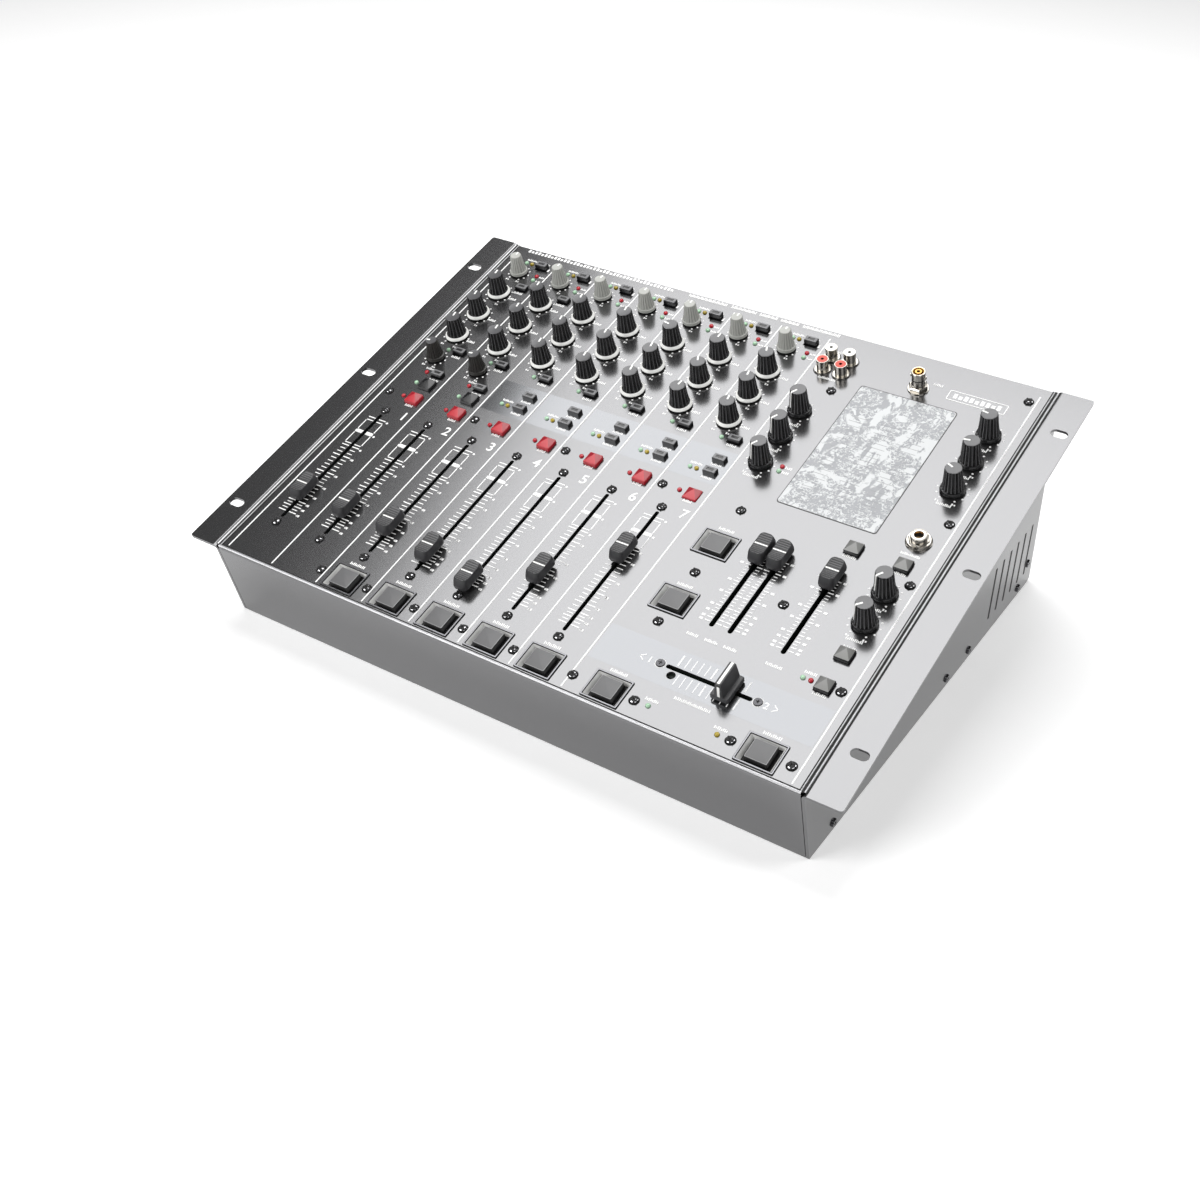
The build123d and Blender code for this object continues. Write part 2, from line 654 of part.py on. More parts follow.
# ---- moving pieces --------------------------------------------------------------------------
# Small push-button caps: stepped slim caps and square caps with a tapered top, each on a stem.
STEM_FOOT = BOARD_N + 9.4


def taper_cap(x, v, base, top, foot, height):
    """A cap from foot to height above the panel, with a tapered top and a stem below."""
    with BuildPart() as cap:
        with BuildSketch(on_panel(foot)):
            with Locations((x, v)):
                Rectangle(*base)
        extrude(amount=height - 1.2 - foot)
        with BuildSketch(on_panel(height - 1.2)):
            with Locations((x, v)):
                Rectangle(*base)
        with BuildSketch(on_panel(height)):
            with Locations((x, v)):
                Rectangle(*top)
        loft()
        with BuildSketch(on_panel(foot)):
            with Locations((x, v)):
                Rectangle(3.0, 3.0)
        extrude(amount=STEM_FOOT - foot)
    return cap.part.solids()


small_caps = []
for x, v, height in slim_switches:
    small_caps += taper_cap(x, v, SLIM_BASE, SLIM_TOP, -5.0, height)
for x, v in square_buttons:
    drop = PRESSED_DEPTH if x == PRESSED_CUE and v == CUE_V else 0.0
    small_caps += taper_cap(x, v, SQUARE_BASE, SQUARE_TOP, -5.0, SQUARE_HEIGHT - drop)
finish_group(small_caps, "push_buttons")

# Pad caps: flat-topped square caps that stand in the bezels.
PAD_TOP = (PAD_CAP[0] - 0.6, PAD_CAP[1] - 0.6)
large_caps = []
for x, v in pads:
    large_caps += taper_cap(x, v, PAD_CAP, PAD_TOP, -8.0, 1.8)
finish_group(large_caps, "pad_caps")


# Knobs: a moulded cap pressed on a steel shaft that turns in the pot's bushing.
def knob(x, v, skirt_r, body_r, top_r, height):
    """A tapered knob with a skirt, and its shaft."""
    base = on_panel(KNOB_LIFT)
    spot = base.from_local_coords((x, v, 0))
    axis_plane = Plane(origin=spot, x_dir=(1, 0, 0), z_dir=(0, -SLOPE_COS, -SLOPE_SIN))
    top = height - KNOB_LIFT
    grip = top - 9.0
    with BuildPart() as piece:
        with BuildSketch(axis_plane):
            with BuildLine():
                Polyline(
                    (SHAFT_R, 0), (skirt_r, 0), (skirt_r, 0.9), (body_r, 2.2),
                    (top_r, top - 0.6), (top_r - 0.6, top), (0, top), (0, top - grip + 4.0),
                    (SHAFT_R, top - grip + 4.0), close=True,
                )
            make_face()
        revolve(axis=Axis(spot, on_panel().z_dir))
    with BuildPart() as shaft:
        with BuildSketch(on_panel(-11.0)):
            with Locations((x, v)):
                Circle(SHAFT_R)
        extrude(amount=11.0 + KNOB_LIFT + top - grip + 4.0)
    return piece.part.solids() + shaft.part.solids()


knob_kinds = [
    (gain_knobs, (6.8, 6.2, 4.0, 16.5)),
    (eq_knobs, (9.4, 7.6, 5.1, 18.0)),
    (pan_knobs, (6.8, 6.2, 4.0, 16.5)),
    (master_knobs, (8.3, 7.0, 5.4, 19.5)),
]
for group, shape in knob_kinds:
    for label, x, v, _ in group:
        finish_group(knob(x, v, *shape), label)


# Fader caps: a tapered cap with a dished top, on a steel lever that reaches down into the tray.
def fader(x, v, base, top, height, lever):
    """A fader cap and its lever."""
    with BuildPart() as cap:
        with BuildSketch(on_panel(CAP_LIFT)):
            with Locations((x, v)):
                Rectangle(*base)
        with BuildSketch(on_panel(height)):
            with Locations((x, v)):
                Rectangle(*top)
        loft()
        with BuildSketch(on_panel(CAP_LIFT)):
            with Locations((x, v)):
                Rectangle(*lever)
        extrude(amount=5.0, mode=Mode.SUBTRACT)
    with BuildPart() as blade:
        with BuildSketch(on_panel(-11.0)):
            with Locations((x, v)):
                Rectangle(*lever)
        extrude(amount=11.0 + CAP_LIFT + 5.0)
    return cap.part.solids() + blade.part.solids()


for label, x, v in channel_faders + output_faders:
    finish_group(fader(x, v, (10.3, 22.5), (9.2, 16.4), 11.0, (1.2, 6.0)), label)
finish_group(
    fader(CROSS_REST, CROSS_V, (12.0, 20.0), (4.0, 18.0), 15.6, (6.0, 1.2)), "crossfader"
)
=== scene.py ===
"""The looks of a seven-channel desk mixer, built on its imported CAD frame. Lengths in the mesh
code are millimetres in the control panel's own frame: x across, v up the slope from the
panel's front edge, n square to it. They turn to metres where a piece is made."""
import json
import math

import bmesh
import bpy
from mathutils import Matrix, Vector


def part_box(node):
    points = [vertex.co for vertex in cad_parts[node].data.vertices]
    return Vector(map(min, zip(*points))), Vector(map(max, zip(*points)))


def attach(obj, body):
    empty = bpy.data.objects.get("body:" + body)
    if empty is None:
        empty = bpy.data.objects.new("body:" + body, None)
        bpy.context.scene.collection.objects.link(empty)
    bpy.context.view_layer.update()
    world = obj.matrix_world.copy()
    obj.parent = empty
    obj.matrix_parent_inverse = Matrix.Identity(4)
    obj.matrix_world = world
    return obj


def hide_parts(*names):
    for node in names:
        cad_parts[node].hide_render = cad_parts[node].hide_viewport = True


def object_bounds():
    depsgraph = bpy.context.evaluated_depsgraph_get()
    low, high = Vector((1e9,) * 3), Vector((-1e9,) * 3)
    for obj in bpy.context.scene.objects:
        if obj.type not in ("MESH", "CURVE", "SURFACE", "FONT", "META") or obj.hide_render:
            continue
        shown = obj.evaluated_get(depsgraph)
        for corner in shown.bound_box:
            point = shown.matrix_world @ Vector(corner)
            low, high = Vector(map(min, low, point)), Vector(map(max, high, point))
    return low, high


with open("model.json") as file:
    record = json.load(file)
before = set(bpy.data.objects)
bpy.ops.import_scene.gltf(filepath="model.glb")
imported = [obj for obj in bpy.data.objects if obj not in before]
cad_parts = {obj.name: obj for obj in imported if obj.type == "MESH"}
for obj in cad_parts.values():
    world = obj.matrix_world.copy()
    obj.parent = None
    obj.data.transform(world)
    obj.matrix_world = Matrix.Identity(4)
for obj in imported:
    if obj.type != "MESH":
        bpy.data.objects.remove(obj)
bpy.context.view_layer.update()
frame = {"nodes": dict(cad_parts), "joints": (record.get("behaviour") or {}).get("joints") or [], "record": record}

# ---- Camera -------------------------------------------------------------------------------
# A person's view of the desk from beyond its right front corner, looking down on the panel.
lens = bpy.data.cameras.new("camera")
lens.lens = 46.93
lens.sensor_width = 36.0
camera = bpy.data.objects.new("camera", lens)
camera.location = (0.47016, -0.76512, 0.62901)
camera.rotation_euler = [math.radians(a) for a in (54.769, -0.328, 33.636)]
bpy.context.scene.collection.objects.link(camera)
bpy.context.scene.camera = camera

# ---- Panel frame --------------------------------------------------------------------------
# The panel slopes, so everything on it is placed by x, v and n. Its slope comes from a knob's
# axis and its front edge from the ear that runs its whole depth.
MM = 0.001
PANEL_DEPTH = 354.8
UP = Vector(next(j for j in frame["joints"] if j["name"] == "gain_1_turn")["axis"])
ACROSS = Vector((1, 0, 0))
ALONG = UP.cross(ACROSS)
ear_low, ear_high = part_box("left_side_plate")
EDGE = Vector((0, ear_low[1], ear_high[2] - PANEL_DEPTH * MM * ALONG.z))


def on_panel(x, v, n=0.0, turn=0.0):
    """Matrix of a spot on the panel, turned clockwise by some degrees about its normal."""
    axes = Matrix((ACROSS, ALONG, UP)).transposed().to_4x4()
    spot = EDGE + ACROSS * x * MM + ALONG * v * MM + UP * n * MM
    return Matrix.Translation(spot) @ axes @ Matrix.Rotation(-math.radians(turn), 4, "Z")


def panel_spot(point):
    """The x, v and n of a point in metres."""
    offset = (Vector(point) - EDGE) / MM
    return offset.dot(ACROSS), offset.dot(ALONG), offset.dot(UP)


# ---- Case ---------------------------------------------------------------------------------
# Folded sheet steel: top panel, two side plates with their rack ears, and the bottom pan.
# Powder coated in a semi-gloss charcoal that carries fine metal flake, so it mirrors a bright
# lamp as pale grey and goes dark where nothing bright stands behind it.
def srgb(code):
    """Linear colour of an sRGB hex code."""
    parts = [int(code[i:i + 2], 16) / 255 for i in (0, 2, 4)]
    return [p / 12.92 if p <= 0.04045 else ((p + 0.055) / 1.055) ** 2.4 for p in parts] + [1.0]


def add_node(tree, kind, settings=None, links=None):
    """Add a node; settings fill its properties and inputs, links join inputs to outputs."""
    node = tree.nodes.new(kind)
    for key, value in (settings or {}).items():
        if key in node.inputs and not hasattr(node, str(key)):
            node.inputs[key].default_value = value
        else:
            setattr(node, key, value)
    for key, output in (links or {}).items():
        tree.links.new(output, node.inputs[key])
    return node


def finish_of(name, dark, light, grain_mm, rough, bump_mm, **surface):
    """A moulded, painted or plated finish: two close colours and a fine bump, by grain size."""
    made = bpy.data.materials.new(name)
    made.use_nodes = True
    tree = made.node_tree
    tree.nodes.clear()
    place = add_node(tree, "ShaderNodeTexCoord")
    grain = add_node(tree, "ShaderNodeTexNoise", {"Scale": 1000 / grain_mm, "Detail": 3.0},
                     {"Vector": place.outputs["Object"]})
    tint = add_node(tree, "ShaderNodeMix", {"data_type": "RGBA"}, {0: grain.outputs["Fac"]})
    tint.inputs[6].default_value = srgb(dark)
    tint.inputs[7].default_value = srgb(light)
    sheen = add_node(tree, "ShaderNodeMapRange", {"To Min": rough[0], "To Max": rough[1]},
                     {"Value": grain.outputs["Fac"]})
    relief = add_node(tree, "ShaderNodeBump", {"Strength": 0.35, "Distance": bump_mm * MM},
                      {"Height": grain.outputs["Fac"]})
    shader = add_node(tree, "ShaderNodeBsdfPrincipled", surface,
                      {"Base Color": tint.outputs[2], "Roughness": sheen.outputs[0],
                       "Normal": relief.outputs[0]})
    add_node(tree, "ShaderNodeOutputMaterial", None, {"Surface": shader.outputs[0]})
    return made


case_coat = finish_of("charcoal_flake_coat", "6f6f70", "757576", 0.5, (0.18, 0.21), 0.005,
                      Metallic=0.92)
pan_coat = finish_of("black_powder_coat", "1b1b1d", "232325", 0.8, (0.42, 0.5), 0.01)
for node in ("top_panel", "left_side_plate", "right_side_plate"):
    frame["nodes"][node].data.materials.clear()
    frame["nodes"][node].data.materials.append(case_coat)
frame["nodes"]["bottom_pan"].data.materials.clear()
frame["nodes"]["bottom_pan"].data.materials.append(pan_coat)

# ---- Channel layout -----------------------------------------------------------------------
# Seven strips at one pitch; the gain knobs' axes say where each strip lies.
joint_at = {j["name"]: panel_spot(j["pos_m"]) for j in frame["joints"] if j["type"] == "hinge"}
KNOB_DX = 14.7
FADER_DX = 15.7
strips = [joint_at["gain_%d_turn" % (i + 1)][0] - KNOB_DX for i in range(7)]
PITCH = strips[1] - strips[0]
MASTER_X = strips[6] + PITCH

# ---- Zones --------------------------------------------------------------------------------
# Patches of a second, paler and smoother pass of the case's paint, masked and sprayed round the
# cue switches of channels 3 to 7 and the crossfader. They mirror the lamps more sharply.
class Shell:
    """A mesh under construction, in millimetres, with a material number for each face."""

    def __init__(self):
        self.points = []
        self.faces = []
        self.finish = []

    def loop(self, points):
        start = len(self.points)
        self.points += [tuple(p) for p in points]
        return list(range(start, len(self.points)))

    def face(self, corners, finish=0):
        self.faces.append(corners)
        self.finish.append(finish)

    def band(self, lower, upper, finish=0):
        count = len(lower)
        for i in range(count):
            j = (i + 1) % count
            self.face([lower[i], lower[j], upper[j], upper[i]], finish)

    def stack(self, loops, finishes, floor=True):
        """Join loops from the lowest up and close the top; the last finish is the lid's."""
        rows = [self.loop(points) for points in loops]
        if floor:
            self.face(rows[0][::-1], finishes[0])
        for i in range(len(rows) - 1):
            self.band(rows[i], rows[i + 1], finishes[i])
        self.face(rows[-1], finishes[-1])

    def moved(self, other, matrix):
        """Add another shell's faces, moved by a matrix in millimetres."""
        start = len(self.points)
        self.points += [tuple(matrix @ Vector(p)) for p in other.points]
        self.faces += [[i + start for i in f] for f in other.faces]
        self.finish += other.finish

    def mesh(self, name, materials, sharp=32):
        data = bpy.data.meshes.new(name)
        data.from_pydata([Vector(p) * MM for p in self.points], [], self.faces)
        for material in materials:
            data.materials.append(material)
        data.polygons.foreach_set("material_index", self.finish)
        data.polygons.foreach_set("use_smooth", [True] * len(self.faces))
        data.set_sharp_from_angle(angle=math.radians(sharp))
        data.update()
        return data


def rounded(width, depth, corner, n, steps=4, x=0.0, v=0.0):
    """A rectangle with round corners at height n."""
    points = []
    for quarter, (sx, sv) in enumerate(((1, 1), (-1, 1), (-1, -1), (1, -1))):
        for i in range(steps + 1):
            turn = math.pi / 2 * (quarter + i / steps)
            points.append((
                x + sx * (width / 2 - corner) + corner * math.cos(turn),
                v + sv * (depth / 2 - corner) + corner * math.sin(turn),
                n,
            ))
    return points


def place(mesh, name, body, matrix=None, node=None, slot=None):
    """Stand a mesh in the scene, riding on a body and standing for a CAD node."""
    piece = bpy.data.objects.new(name, mesh)
    bpy.context.scene.collection.objects.link(piece)
    if matrix is not None:
        piece.matrix_world = matrix
    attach(piece, body)
    if node:
        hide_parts(node)
    return piece


PANEL_ORIGIN = on_panel(0, 0)
zone_coat = finish_of("pale_zone_coat", "6f7072", "747577", 0.5, (0.10, 0.14), 0.001,
                      Metallic=0.92)
ZONE_N = 0.02
zones = Shell()
for x in strips[2:]:
    zones.face(zones.loop(rounded(36.2, 31.6, 0.8, ZONE_N, x=x + 19.4, v=201.4)))
# the crossfader's patch is four panes that leave its slot and a hole in the sheet open
for left, right, low, high in ((58.5, 207.5, 46.0, 58.4), (58.5, 207.5, 30.3, 36.4),
                               (58.5, 104.9, 36.4, 46.0), (162.0, 207.5, 36.4, 46.0),
                               (114.1, 162.0, 36.4, 43.0), (104.9, 108.2, 36.4, 43.0)):
    zones.face(zones.loop([(left, low, ZONE_N), (right, low, ZONE_N), (right, high, ZONE_N),
                           (left, high, ZONE_N)]))
place(zones.mesh("paint_zones", [zone_coat]), "paint_zones", "case", PANEL_ORIGIN,
      slot="case_paint")


# ---- Print --------------------------------------------------------------------------------
# White epoxy ink, screen printed on the painted panel: channel lines, scales and marks. It is
# matt and a little raised. Worded labels are rows of plain strokes.
ink = finish_of("white_screen_ink", "f2f2f1", "f8f8f7", 0.4, (0.45, 0.55), 0.003)
INK_N = 0.09
ink_shell = Shell()


def ring(radius, n, sides=48, flute=0.0, flutes=16):
    """A circle at height n, drawn in between its ribs by the flute depth."""
    points = []
    for i in range(sides):
        turn = 2 * math.pi * i / sides
        groove = abs(math.cos(flutes * turn / 2)) ** 5
        r = radius - flute * groove
        points.append((-r * math.sin(turn), r * math.cos(turn), n))
    return points


def bar(x, v, width, depth):
    """A solid printed bar with its middle at x, v."""
    w, d = width / 2, depth / 2
    ink_shell.face(ink_shell.loop([(x - w, v - d, INK_N), (x + w, v - d, INK_N),
                                   (x + w, v + d, INK_N), (x - w, v + d, INK_N)]))


def frame_line(x, v, width, depth, thick, corner=0.6):
    """A printed rectangular outline."""
    outer = ink_shell.loop(rounded(width, depth, corner + thick, INK_N, x=x, v=v))
    inner = ink_shell.loop(rounded(width - 2 * thick, depth - 2 * thick, corner, INK_N, x=x, v=v))
    ink_shell.band(outer, inner)


def dot(x, v, radius):
    """A printed dot."""
    ink_shell.face(ink_shell.loop([(p[0] + x, p[1] + v, INK_N) for p in ring(radius * 1.12, 0, 12)]))


def digits(text, x, v, height):
    """Printed figures, with their middle at x, v."""
    curve = bpy.data.curves.new("figures", "FONT")
    curve.body = text
    curve.size = height * 1.38
    curve.align_x = "CENTER"
    curve.offset = height * 0.02
    holder = bpy.data.objects.new("figures", curve)
    flat = bpy.data.meshes.new_from_object(holder)
    start = len(ink_shell.points)
    for point in flat.vertices:
        ink_shell.points.append((x + point.co.x, v - height / 2 + point.co.y, INK_N))
    for polygon in flat.polygons:
        ink_shell.face([start + i for i in polygon.vertices])
    bpy.data.objects.remove(holder)


def word(x, v, width, height=2.2, letters=0):
    """A worded label's stand-in: short upright strokes in a row, as long as the label."""
    count = letters or max(2, round(width / 1.15))
    step = width / count
    for i in range(count):
        short = 0.72 if i % 3 == 1 else 1.0
        bar(x - width / 2 + step * (i + 0.5), v - height * (1 - short) / 2, step * 0.66,
            height * short)


# Channel lines, the line at the master section's right and the figures under the cue buttons.
LINE_WIDTH = 0.95
for x in strips + [MASTER_X, MASTER_X + 151.8]:
    bar(x, 174.5, LINE_WIDTH, 341.0)
for i, x in enumerate(strips):
    digits(str(i + 1), x + 32.0, 155.6, 8.0)
word(-138.5, 350.2, 131.0, 3.2, 44)
for start, end in ((-60.0, -28.0), (-24.5, -4.0), (-1.5, 13.0), (15.5, 30.0), (33.0, 62.0)):
    word((start + end) / 2, 350.2, end - start, 3.0)

# Eleven dots round each knob, with a small mark at both ends of its turn.
EQ_NAMES = ("high", "mid", "low")


def knob_print(x, v, dot_ring):
    """The scale round one knob."""
    for i in range(11):
        turn = math.radians(-150 + 30 * i)
        dot(x + dot_ring * math.sin(turn), v + dot_ring * math.cos(turn), 0.62)
    for side in (-1, 1):
        word(x + side * 0.55 * dot_ring, v - dot_ring * 1.16, 3.2, 1.7, 2)


DOT_RINGS = {"gain": 8.2, "pan": 8.1}
DOT_RING = 10.0
for name, (x, v, _) in joint_at.items():
    kind = name.split("_")[0]
    knob_print(x, v, DOT_RINGS.get(kind, DOT_RING))
    if kind in EQ_NAMES:
        word(x + 13.3, v - 2.0, 7.0)
for x in strips:
    word(x + 27.9, 340.6, 9.0, 1.9)
    word(x + 34.5, 334.8, 2.2, 3.2, 1)
    word(x + 34.6, 325.2, 4.4, 1.7)
    word(x + 34.6, 320.2, 4.4, 1.7)
    word(x + 15.9, 340.6, 9.0, 1.9)
    word(x + 28.1, 222.8, 7.4)
    word(x + 28.0, 166.3, 6.6)
for x in strips[2:]:
    word(x + 28.2, 202.8, 8.0, 1.9)
    word(x + 28.2, 190.0, 8.0, 1.9)
    word(x + 15.8, 199.2, 9.0, 1.9)
    word(x + 16.3, 27.6, 12.0)
for x in strips[:2]:
    word(x + 28.2, 302.9, 7.6)
    word(x + 28.2, 195.6, 8.0, 1.9)
    word(x + 18.3, 205.0, 7.0, 1.9)
for x, v, width in (
    (72.4, 256.9, 13.0), (72.4, 230.2, 11.0), (72.4, 203.4, 11.0), (193.6, 283.8, 10.0),
    (193.6, 257.0, 10.0), (193.6, 230.0, 10.0), (193.6, 183.0, 13.0), (193.6, 135.0, 9.0),
    (193.6, 108.8, 11.0), (194.0, 102.4, 9.0), (194.0, 64.4, 9.0), (161.4, 166.4, 9.0),
    (194.0, 166.4, 9.0), (82.7, 154.4, 11.0), (82.7, 103.3, 11.0), (82.7, 27.6, 12.0),
    (184.3, 27.6, 12.0), (110.8, 18.8, 9.0), (156.3, 18.8, 9.0), (73.8, 334.6, 13.0),
    (73.8, 307.0, 13.0), (144.5, 330.0, 7.0), (106.5, 71.7, 8.0), (119.3, 71.7, 9.0),
    (132.0, 71.7, 9.0), (161.0, 71.7, 11.0), (182.6, 76.2, 8.0), (91.8, 219.0, 5.0),
    (91.6, 214.5, 5.0), (133.0, 26.4, 24.0),
):
    word(x, v, width)
frame_line(174.2, 324.3, 40.5, 9.5, 0.6)
word(174.2, 324.3, 34.0, 4.6, 9)

# Channel fader scales: long ticks by the figures, short ones between, and two boxes at the top.
LONG_TICKS = (145.4, 130.2, 115.1, 104.9, 87.2, 74.6, 64.4, 56.7, 51.7, 46.3)
for i, x in enumerate(strips):
    middle = x + FADER_DX
    for number, v in enumerate(LONG_TICKS):
        thick = 2.1 if number == 1 else 0.8
        for side in (-1, 1):
            bar(middle + side * 4.6, v, 6.0, thick)
        dot(middle + 9.4, v - 0.9, 0.8)
        if number > 2:
            bar(middle + 10.0, v - 0.9, 2.3, 1.7)
    for upper, lower in zip(LONG_TICKS[2:], LONG_TICKS[3:]):
        between = max(1, round((upper - lower) / 3.4) - 1)
        for k in range(1, between + 1):
            v = upper + (lower - upper) * k / (between + 1)
            for side in (-1, 1):
                bar(middle + side * 4.3, v, 4.4, 0.65)
    for low, high in ((131.5, 142.5), (117.6, 129.2)):
        for side in (-1, 1):
            # open boxes: the side by the slot is left out
            edge = middle + side * 7.1
            bar(edge, (low + high) / 2, 0.75, high - low - 1.6)
            for v in (low, high):
                bar(middle + side * 4.2, v, 5.4, 0.75)
OUTPUT_TICKS = (145.3, 135.1, 119.9, 109.6, 98.5, 93.3, 88.3, 85.2)
MAIN_LEFT_X, MAIN_RIGHT_X, MONITOR_X = 113.0, 125.6, 161.0
for middle in (MAIN_LEFT_X, MAIN_RIGHT_X, MONITOR_X):
    for v in OUTPUT_TICKS:
        for side in (-1, 1):
            bar(middle + side * 4.0, v, 3.6, 0.8)
        # the two main faders share the figures at their outer sides
        if middle != MAIN_LEFT_X:
            bar(middle + 8.4, v, 2.4, 1.7)
        if middle != MAIN_RIGHT_X:
            bar(middle - 8.4, v, 2.4, 1.7)
    for upper, lower in zip(OUTPUT_TICKS, OUTPUT_TICKS[1:]):
        between = max(0, round((upper - lower) / 2.6) - 1)
        for k in range(1, between + 1):
            for side in (-1, 1):
                bar(middle + side * 3.6, upper + (lower - upper) * k / (between + 1), 2.7, 0.6)

# Crossfader scale: eleven lines each side of the slot.
for i in range(11):
    x = 111.0 + 4.45 * i
    thick = 1.0 if i in (0, 5, 10) else 0.55
    bar(x, 51.4, thick, 8.2)
    if i > 0:
        bar(x, 37.65, thick, 8.3)
for x, point in ((88.5, -1), (177.0, 1)):
    tip = x + point * 1.6
    back = x - point * 1.6
    for rise in (-2.2, 2.2):
        ink_shell.face(ink_shell.loop([
            (tip, 44.0, INK_N), (back, 44.0 + rise, INK_N), (back, 44.9 + rise, INK_N),
            (tip, 44.9, INK_N)]))
digits("1", 94.0, 44.4, 4.8)
digits("2", 171.2, 44.4, 4.8)

place(ink_shell.mesh("panel_print", [ink]), "panel_print", "case", PANEL_ORIGIN,
      slot="case_paint")

# ---- Knobs --------------------------------------------------------------------------------
# Moulded ABS push-on caps: a fluted tapered grip with a flat top and a white pointer, on a skirt.
# The black ones have a satin spark-eroded grain; their lids are drawn a lighter grey, a painted
# reflection of the lamp, and their rib crests lighter strips, a painted highlight. The gain knobs
# are light grey, with rib crests drawn lighter still, a painted highlight.
black_abs = finish_of("black_moulded_abs", "141415", "1b1b1d", 0.35, (0.22, 0.30), 0.006)
lid_reflection_abs = finish_of("knob_lid_painted_reflection_abs", "4c4c4e", "555557", 0.35, (0.20, 0.26), 0.004)
rib_abs = finish_of("rib_crest_painted_highlight_abs", "555557", "5f5f61", 0.35, (0.24, 0.3), 0.002)
warm_abs = finish_of("warm_black_abs", "2a2927", "32312f", 0.35, (0.3, 0.38), 0.006)
stone_rib_highlight_abs = finish_of("stone_rib_crest_painted_highlight_abs", "c6c7c2", "cecfca", 0.35, (0.3, 0.38), 0.002)
stone_abs = finish_of("stone_grey_abs", "a9aaa5", "b1b2ad", 0.35, (0.38, 0.46), 0.006)
white_abs = finish_of("white_moulded_abs", "efefec", "f7f7f4", 0.5, (0.3, 0.38), 0.004)


def fluted_knob(name, skirt_r, body_r, top_r, height, flutes, finishes, line_down):
    """A knob's mesh about its own axis. line_down is how far the pointer runs down the side."""
    # finishes by number: 0 foot, 1 grip, 2 skirt, 3 lid, 4 pointer, 5 rib crest
    grip, lid, skirt, rib = finishes
    sides = flutes * 8
    depth = body_r * 0.085
    shell = Shell()
    levels = [
        # the foot under the skirt is black on every knob: partly a flange, partly painted shade
        (ring(skirt_r - 0.5, 0.62, sides), 0),
        (ring(skirt_r - 0.2, 1.35, sides), 0),
        (ring(skirt_r, 1.4, sides), 2),
        (ring(skirt_r - 0.05, 2.0, sides), 2),
        (ring(body_r + 0.6, 3.3, sides), 2),
        (ring(body_r + 0.3, 3.35, sides), 1),
        (ring(body_r, 3.6, sides, depth, flutes), 1),
        (ring(body_r + (top_r - body_r) * 0.5, height * 0.52, sides, depth, flutes), 1),
        (ring(top_r + 0.12, height - 0.7, sides, depth * 0.8, flutes), 1),
        (ring(top_r - 0.08, height - 0.25, sides, depth * 0.3, flutes), 3),
        (ring(top_r - 0.4, height - 0.02, sides), 3),
        (ring(top_r - 0.9, height - 0.06, sides), 3),
    ]
    shell.stack([points for points, _ in levels], [finish for _, finish in levels])
    # the crest of each rib, drawn as a lighter strip: a painted highlight
    for i in range(flutes):
        turn = math.pi * (2 * i + 1) / flutes
        crest = ((body_r + 0.04, 3.8), ((body_r + top_r) / 2 + 0.04, height * 0.52),
                 (top_r + 0.16, height - 0.8))
        rows = [shell.loop([(-r * math.sin(turn + a), r * math.cos(turn + a), n)
                            for a in (-0.03, 0.03)]) for r, n in crest]
        for lower, upper in zip(rows, rows[1:]):
            shell.face([lower[0], lower[1], upper[1], upper[0]], 5)
    # the pointer: a raised white strip over the top and down the side
    half = 0.62
    path = [(0.9, height + 0.03), (top_r - 0.35, height + 0.03), (top_r + 0.2, height - 0.6)]
    slope = (body_r - top_r) / (height - 3.0)
    path.append((top_r + 0.26 + slope * line_down, height - 0.6 - line_down))
    rows = [shell.loop([(-half, r, n), (half, r, n)]) for r, n in path]
    for lower, upper in zip(rows, rows[1:]):
        shell.face([lower[0], lower[1], upper[1], upper[0]], 4)
    return shell.mesh(name, [black_abs, grip, skirt, lid, white_abs, rib])


knob_meshes = {
    "gain": fluted_knob("gain_cap", 6.8, 6.0, 4.1, 16.5, 18,
                        (stone_abs, stone_abs, stone_abs, stone_rib_highlight_abs), 0.3),
    "tone": fluted_knob("tone_cap", 8.7, 7.0, 5.4, 18.0, 16,
                        (black_abs, lid_reflection_abs, white_abs, rib_abs), 0.6),
    "pan": fluted_knob("pan_cap", 6.8, 6.0, 4.1, 16.5, 18,
                       (warm_abs, lid_reflection_abs, warm_abs, warm_abs), 11.0),
    "output": fluted_knob("output_cap", 8.3, 7.0, 5.4, 19.5, 18,
                          (black_abs, lid_reflection_abs, black_abs, rib_abs), 12.0),
}
for joint in frame["joints"]:
    if joint["type"] != "hinge":
        continue
    body = joint["child"]
    kind = joint["name"].split("_")[0]
    style = "tone" if kind in EQ_NAMES else kind if kind in ("gain", "pan") else "output"
    x, v, _ = joint_at[joint["name"]]
    low_turn, high_turn = joint["range_deg"]
    rest = (low_turn + high_turn) / 2
    slot = "gain_knob_plastic" if kind == "gain" else "knob_plastic"
    place(knob_meshes[style], body + "_cap", body, on_panel(x, v, 0, rest), body, slot)

# ---- Faders -------------------------------------------------------------------------------
# Moulded ABS caps with a dished, ribbed top and a white line, pushed on a plated steel lever.
# The sides are satin, and the ribs' crests are drawn lighter: a painted highlight.
fader_abs = finish_of("charcoal_fader_abs", "2c2c2e", "363638", 0.35, (0.34, 0.44), 0.006)
fader_top_abs = finish_of("grey_fader_top_abs", "363637", "3e3e3f", 0.35, (0.34, 0.42), 0.006)
fader_rib_abs = finish_of("polished_fader_rib_abs", "6d6d6f", "777779", 0.35, (0.3, 0.38), 0.003)
lever_steel = finish_of("plated_lever_steel", "8b8b8e", "98989b", 0.6, (0.28, 0.36), 0.003,
                        Metallic=1.0)


